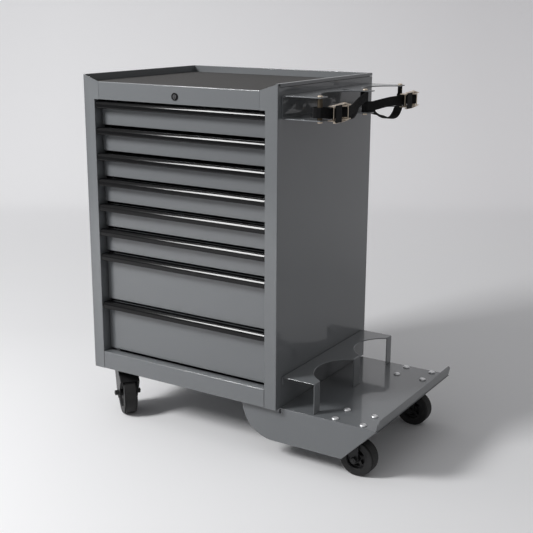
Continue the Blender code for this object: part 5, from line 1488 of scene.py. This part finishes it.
def axle(name, width, body, node, pose):
    """Axle bolt with a washer, and a head and a nut outside the fork."""
    end = width / 2 + GAP
    tip, nut_end = end + AXLE_NUT * AXLE_END, end + AXLE_NUT * NUT_FACE
    washer_end = end + AXLE_WASHER
    parts = [turned("shank", disc(AXLE_RADIUS, -tip, tip), 32)]
    for way in (-1, 1):
        low, high = sorted((way * end, way * washer_end))
        parts.append(turned("washer", disc(AXLE_NUT_RADIUS, low, high, CUT_EDGE)))
        parts.append(hex_end(AXLE_NUT_RADIUS, way * washer_end, way * nut_end, 10))
    add_piece(f"{name}_bolt", joined("axle", *parts), black_steel.material, body,
              [node], pose)


# The swivel casters under the cabinet's left side: a bolted plate with a ball race and a riveted
# kingpin, and a fork pressed from one sheet whose hood follows the wheel. Black electrocoat.
SWIVEL_RADIUS = 0.0695
SWIVEL_PLACES = {"front": (0.053, 0.084, 50.0), "rear": (0.053, 0.476, 35.0)}
SWIVEL_LEAD = 0.030
SWIVEL_WIDTH = 0.062
SWIVEL_BACK = 0.026
SWIVEL_BOSS = 0.018
SWIVEL_TOP = -0.0125
SWIVEL_PLATE = 0.004
PLATE_SIZE = (0.076, 0.075)
PLATE_BOLTS = (0.058, 0.057)
PLATE_CORNER = 0.006
CASTER_EDGE = 0.0006
FORK_BEND = 0.0026
HOOD_CLEARANCE = 0.004
HOOD_ARC = (104, 135)
RACE_RADIUS = 0.030
RACE_HEIGHT = 0.0042
RACE_STEP = 0.003
RACE_ROUND = 0.0022
RACE_LAND = 0.008
RING_ROUND = 0.0015
KINGPIN_RADIUS = 0.005
KINGPIN_HEAD = (0.009, 0.004)
PAN_LEVEL = 0.006
PAN_SHEET = 0.002
BOLT_RADIUS = 0.004
BOLT_HEAD = 0.0040

ACROSS = Matrix.Rotation(math.pi / 2, 4, "Y")


def mount_plate(size, low, high):
    """A caster's flat top plate with rounded corners."""
    half_x, half_y = size[0] / 2, size[1] / 2
    return plate("mount", [rounded_box((-half_x, -half_y), (half_x, half_y), PLATE_CORNER)],
                 low, high, CASTER_EDGE)


def mounting_bolts(places, low, high, head):
    """Hexagon bolts that stand through two plates at the given places."""
    parts = []
    for x, y in places:
        at = Matrix.Translation((x, y, 0))
        parts.append(set_at(turned("shank", disc(BOLT_RADIUS, low, high + JOIN), 24), at))
        parts.append(set_at(hex_end(HEAD_RADIUS, high, high + head, 20), at))
    return parts


for place, (x, y, yaw) in SWIVEL_PLACES.items():
    fixed = CABINET @ Matrix.Translation((x, y, 0))
    top = PAN_LEVEL - GAP
    race_low = SWIVEL_TOP + RACE_HEIGHT + GAP
    head_top = SWIVEL_TOP - FORK_PLATE - GAP
    race = turned("race", np.vstack([
        [(0, top - SWIVEL_PLATE / 2), (RACE_RADIUS, top - SWIVEL_PLATE / 2)],
        arc((RACE_RADIUS - RACE_ROUND, race_low + RACE_ROUND), RACE_ROUND, 0, -90, 6),
        [(RACE_RADIUS - RACE_LAND, race_low), (0, race_low)]])[::-1], 72)
    kingpin = disc(KINGPIN_RADIUS, head_top - OVERLAP, top - SWIVEL_PLATE / 2)
    parts = [mount_plate(PLATE_SIZE, top - SWIVEL_PLATE, top), race,
             turned("kingpin", kingpin, 32),
             set_at(turned("head", rivet(*KINGPIN_HEAD, 0.0, -1), 40),
                    Matrix.Translation((0, 0, head_top)))]
    above = PAN_LEVEL + PAN_SHEET + GAP
    parts += mounting_bolts(corners_of(0, 0, PLATE_BOLTS), top - OVERLAP, above, BOLT_HEAD)
    add_piece(f"caster_mount_{place}", joined("caster_mount", *parts), black_steel.material,
              "cabinet", [f"caster_plate_{place}"], fixed)

    pose = fixed @ Matrix.Rotation(math.radians(yaw), 4, "Z")
    half = SWIVEL_WIDTH / 2
    level = SWIVEL_RADIUS - CABINET_LIFT
    hood = arc((-SWIVEL_LEAD, level), SWIVEL_RADIUS + HOOD_CLEARANCE + FORK_PLATE, *HOOD_ARC, 10)
    hood[0, 1] = SWIVEL_TOP
    path = np.vstack([[(SWIVEL_BACK, SWIVEL_TOP)], hood])
    panels = [[(-half, *b), (half, *b), (half, *a), (-half, *a)] for a, b in zip(path, path[1:])]
    leg = np.vstack([hood, arc((-SWIVEL_LEAD, level), SWIVEL_BOSS, 200, 350, 20),
                     [(SWIVEL_BACK, SWIVEL_TOP)]])
    panels += [[(i, y, z) for y, z in leg] for i in (-half, half)]
    axle_place = Matrix.Translation((0, -SWIVEL_LEAD, level)) @ ACROSS
    bores = [drill(0, 0, head_top, race_low, KINGPIN_RADIUS + GAP),
             set_at(drill(0, 0, -2 * half, 2 * half, WHEEL_BORE), axle_place)]
    fork = folded("fork", panels, FORK_PLATE, FORK_BEND, 4, bores, CASTER_EDGE)
    inside, outside = KINGPIN_RADIUS + GAP, RACE_RADIUS - RACE_STEP
    sunk, crest = SWIVEL_TOP - FORK_PLATE / 2, race_low - GAP
    ring = mesh_from("ring", lathe(np.vstack([
        [(inside, sunk), (outside, sunk)],
        arc((outside - RING_ROUND, crest - RING_ROUND), RING_ROUND, 0, 90, 4),
        [(inside, crest)]]), 72, closed=True))
    add_piece(f"caster_yoke_{place}", joined("caster_yoke", fork, ring), black_steel.material,
              f"swivel_{place}", [f"caster_fork_{place}"], pose)
    at_axle = pose @ axle_place
    wheel(f"swivel_{place}", SWIVEL_RADIUS, half - FORK_PLATE - HUB_PLAY,
          f"swivel_wheel_{place}", f"caster_wheel_{place}", at_axle)
    axle(f"swivel_{place}", SWIVEL_WIDTH, f"swivel_{place}", f"caster_axle_{place}", at_axle)


# The fixed casters under the platform: a plate with two welded legs, held by four carriage bolts
# whose bright domes show on the platform, each with a nut below.
FIXED_RADIUS = 0.0525
FIXED_WIDTH = 0.058
FIXED_BOSS = 0.012
FIXED_FRONT = 0.010
FIXED_BACK = 0.040
FIXED_SIZE = (0.092, 0.106)
DOME_RADIUS = 0.0103
DOME_HEIGHT = 0.006
DOME_SKIRT = (0.0004, 0.0006)
NUT_HEIGHT = 0.007
WELD = 0.003
WELD_SINK = 0.0004
WELD_RIPPLE = 0.10
WELD_PITCH = 0.0026
WELD_STEPS = 60

UPRIGHT_PLANE = Matrix(((0, 0, 1, 0), (1, 0, 0, 0), (0, 1, 0, 0), (0, 0, 0, 1)))

for place, (y, lead) in FIXED_PLACES.items():
    pose = CABINET @ Matrix.Translation((FIXED_X, y, 0)) @ Matrix.Rotation(math.pi / 2, 4, "Z")
    top = PLATFORM_TOP - PLATE - GAP
    low = top - PLATE
    half = FIXED_WIDTH / 2
    level = FIXED_RADIUS - CABINET_LIFT
    leg = np.vstack([[(-lead - FIXED_FRONT, low + JOIN)],
                     arc((-lead, level), FIXED_BOSS, 200, 350, 20), [(FIXED_BACK, low + JOIN)]])
    eye = arc((-lead, level), WHEEL_BORE, 0, 345, 23)
    parts = [mount_plate(FIXED_SIZE, low, top)]
    for outer in (-half, half - FORK_PLATE):
        parts.append(set_at(plate("leg", [leg, eye], outer, outer + FORK_PLATE, CASTER_EDGE),
                            UPRIGHT_PLANE))
    add_piece(f"fixed_yoke_{place}", joined("fixed_yoke", *parts), black_steel.material, "cabinet",
              [f"fixed_caster_{place}"], pose)
    beads = []
    for way in (-1, 1):
        run = np.linspace(-lead - FIXED_FRONT + WELD, FIXED_BACK - WELD, WELD_STEPS)
        ripple = 1 + WELD_RIPPLE * np.sin(run * 2 * math.pi / WELD_PITCH)
        path = np.stack([np.full(WELD_STEPS, way * (half - WELD_SINK)), run,
                         np.full(WELD_STEPS, low + JOIN)], -1)
        points, faces = swept(arc((0, 0), WELD, 180, 360, 10), path, (1, 0, 0), (0, 0, 1))
        rings = points.reshape(WELD_STEPS, -1, 3)
        rings = path[:, None] + (rings - path[:, None]) * ripple[:, None, None]
        beads.append(mesh_from("bead", (rings.reshape(-1, 3), faces)))
    add_piece(f"fixed_welds_{place}", joined("welds", *beads), black_steel.material, "cabinet",
              (), pose)
    seat = PLATFORM_TOP + GAP
    skirt_in, skirt_up = DOME_SKIRT
    rise = np.linspace(0, math.pi / 2, 11)
    dome = np.stack([DOME_RADIUS * np.cos(rise),
                     seat + skirt_up + (DOME_HEIGHT - skirt_up) * np.sin(rise)], -1)
    dome = np.vstack([[(0, seat), (DOME_RADIUS - skirt_in, seat)], dome[:-1],
                      [(0, seat + DOME_HEIGHT)]])
    shank = disc(BOLT_RADIUS, low - NUT_HEIGHT, seat + GAP)
    domes, nuts = [], []
    for x, along in corners_of(0, 0, FIXED_BOLTS):
        at = Matrix.Translation((x, along, 0))
        domes.append(set_at(turned("dome", dome), at))
        nuts.append(set_at(turned("shank", shank, 24), at))
        nuts.append(set_at(hex_end(HEAD_RADIUS, low, low - NUT_HEIGHT, 15), at))
    add_piece(f"carriage_domes_{place}", joined("domes", *domes), bright.material, "cabinet",
              (), pose)
    add_piece(f"carriage_nuts_{place}", joined("nuts", *nuts), bright.material, "cabinet",
              (), pose)
    at_axle = pose @ Matrix.Translation((0, -lead, level)) @ ACROSS
    wheel(f"fixed_{place}", FIXED_RADIUS, half - FORK_PLATE - HUB_PLAY,
          f"fixed_wheel_{place}_body", f"fixed_wheel_{place}", at_axle)
    axle(f"fixed_{place}", FIXED_WIDTH, "cabinet", f"fixed_axle_{place}", at_axle)
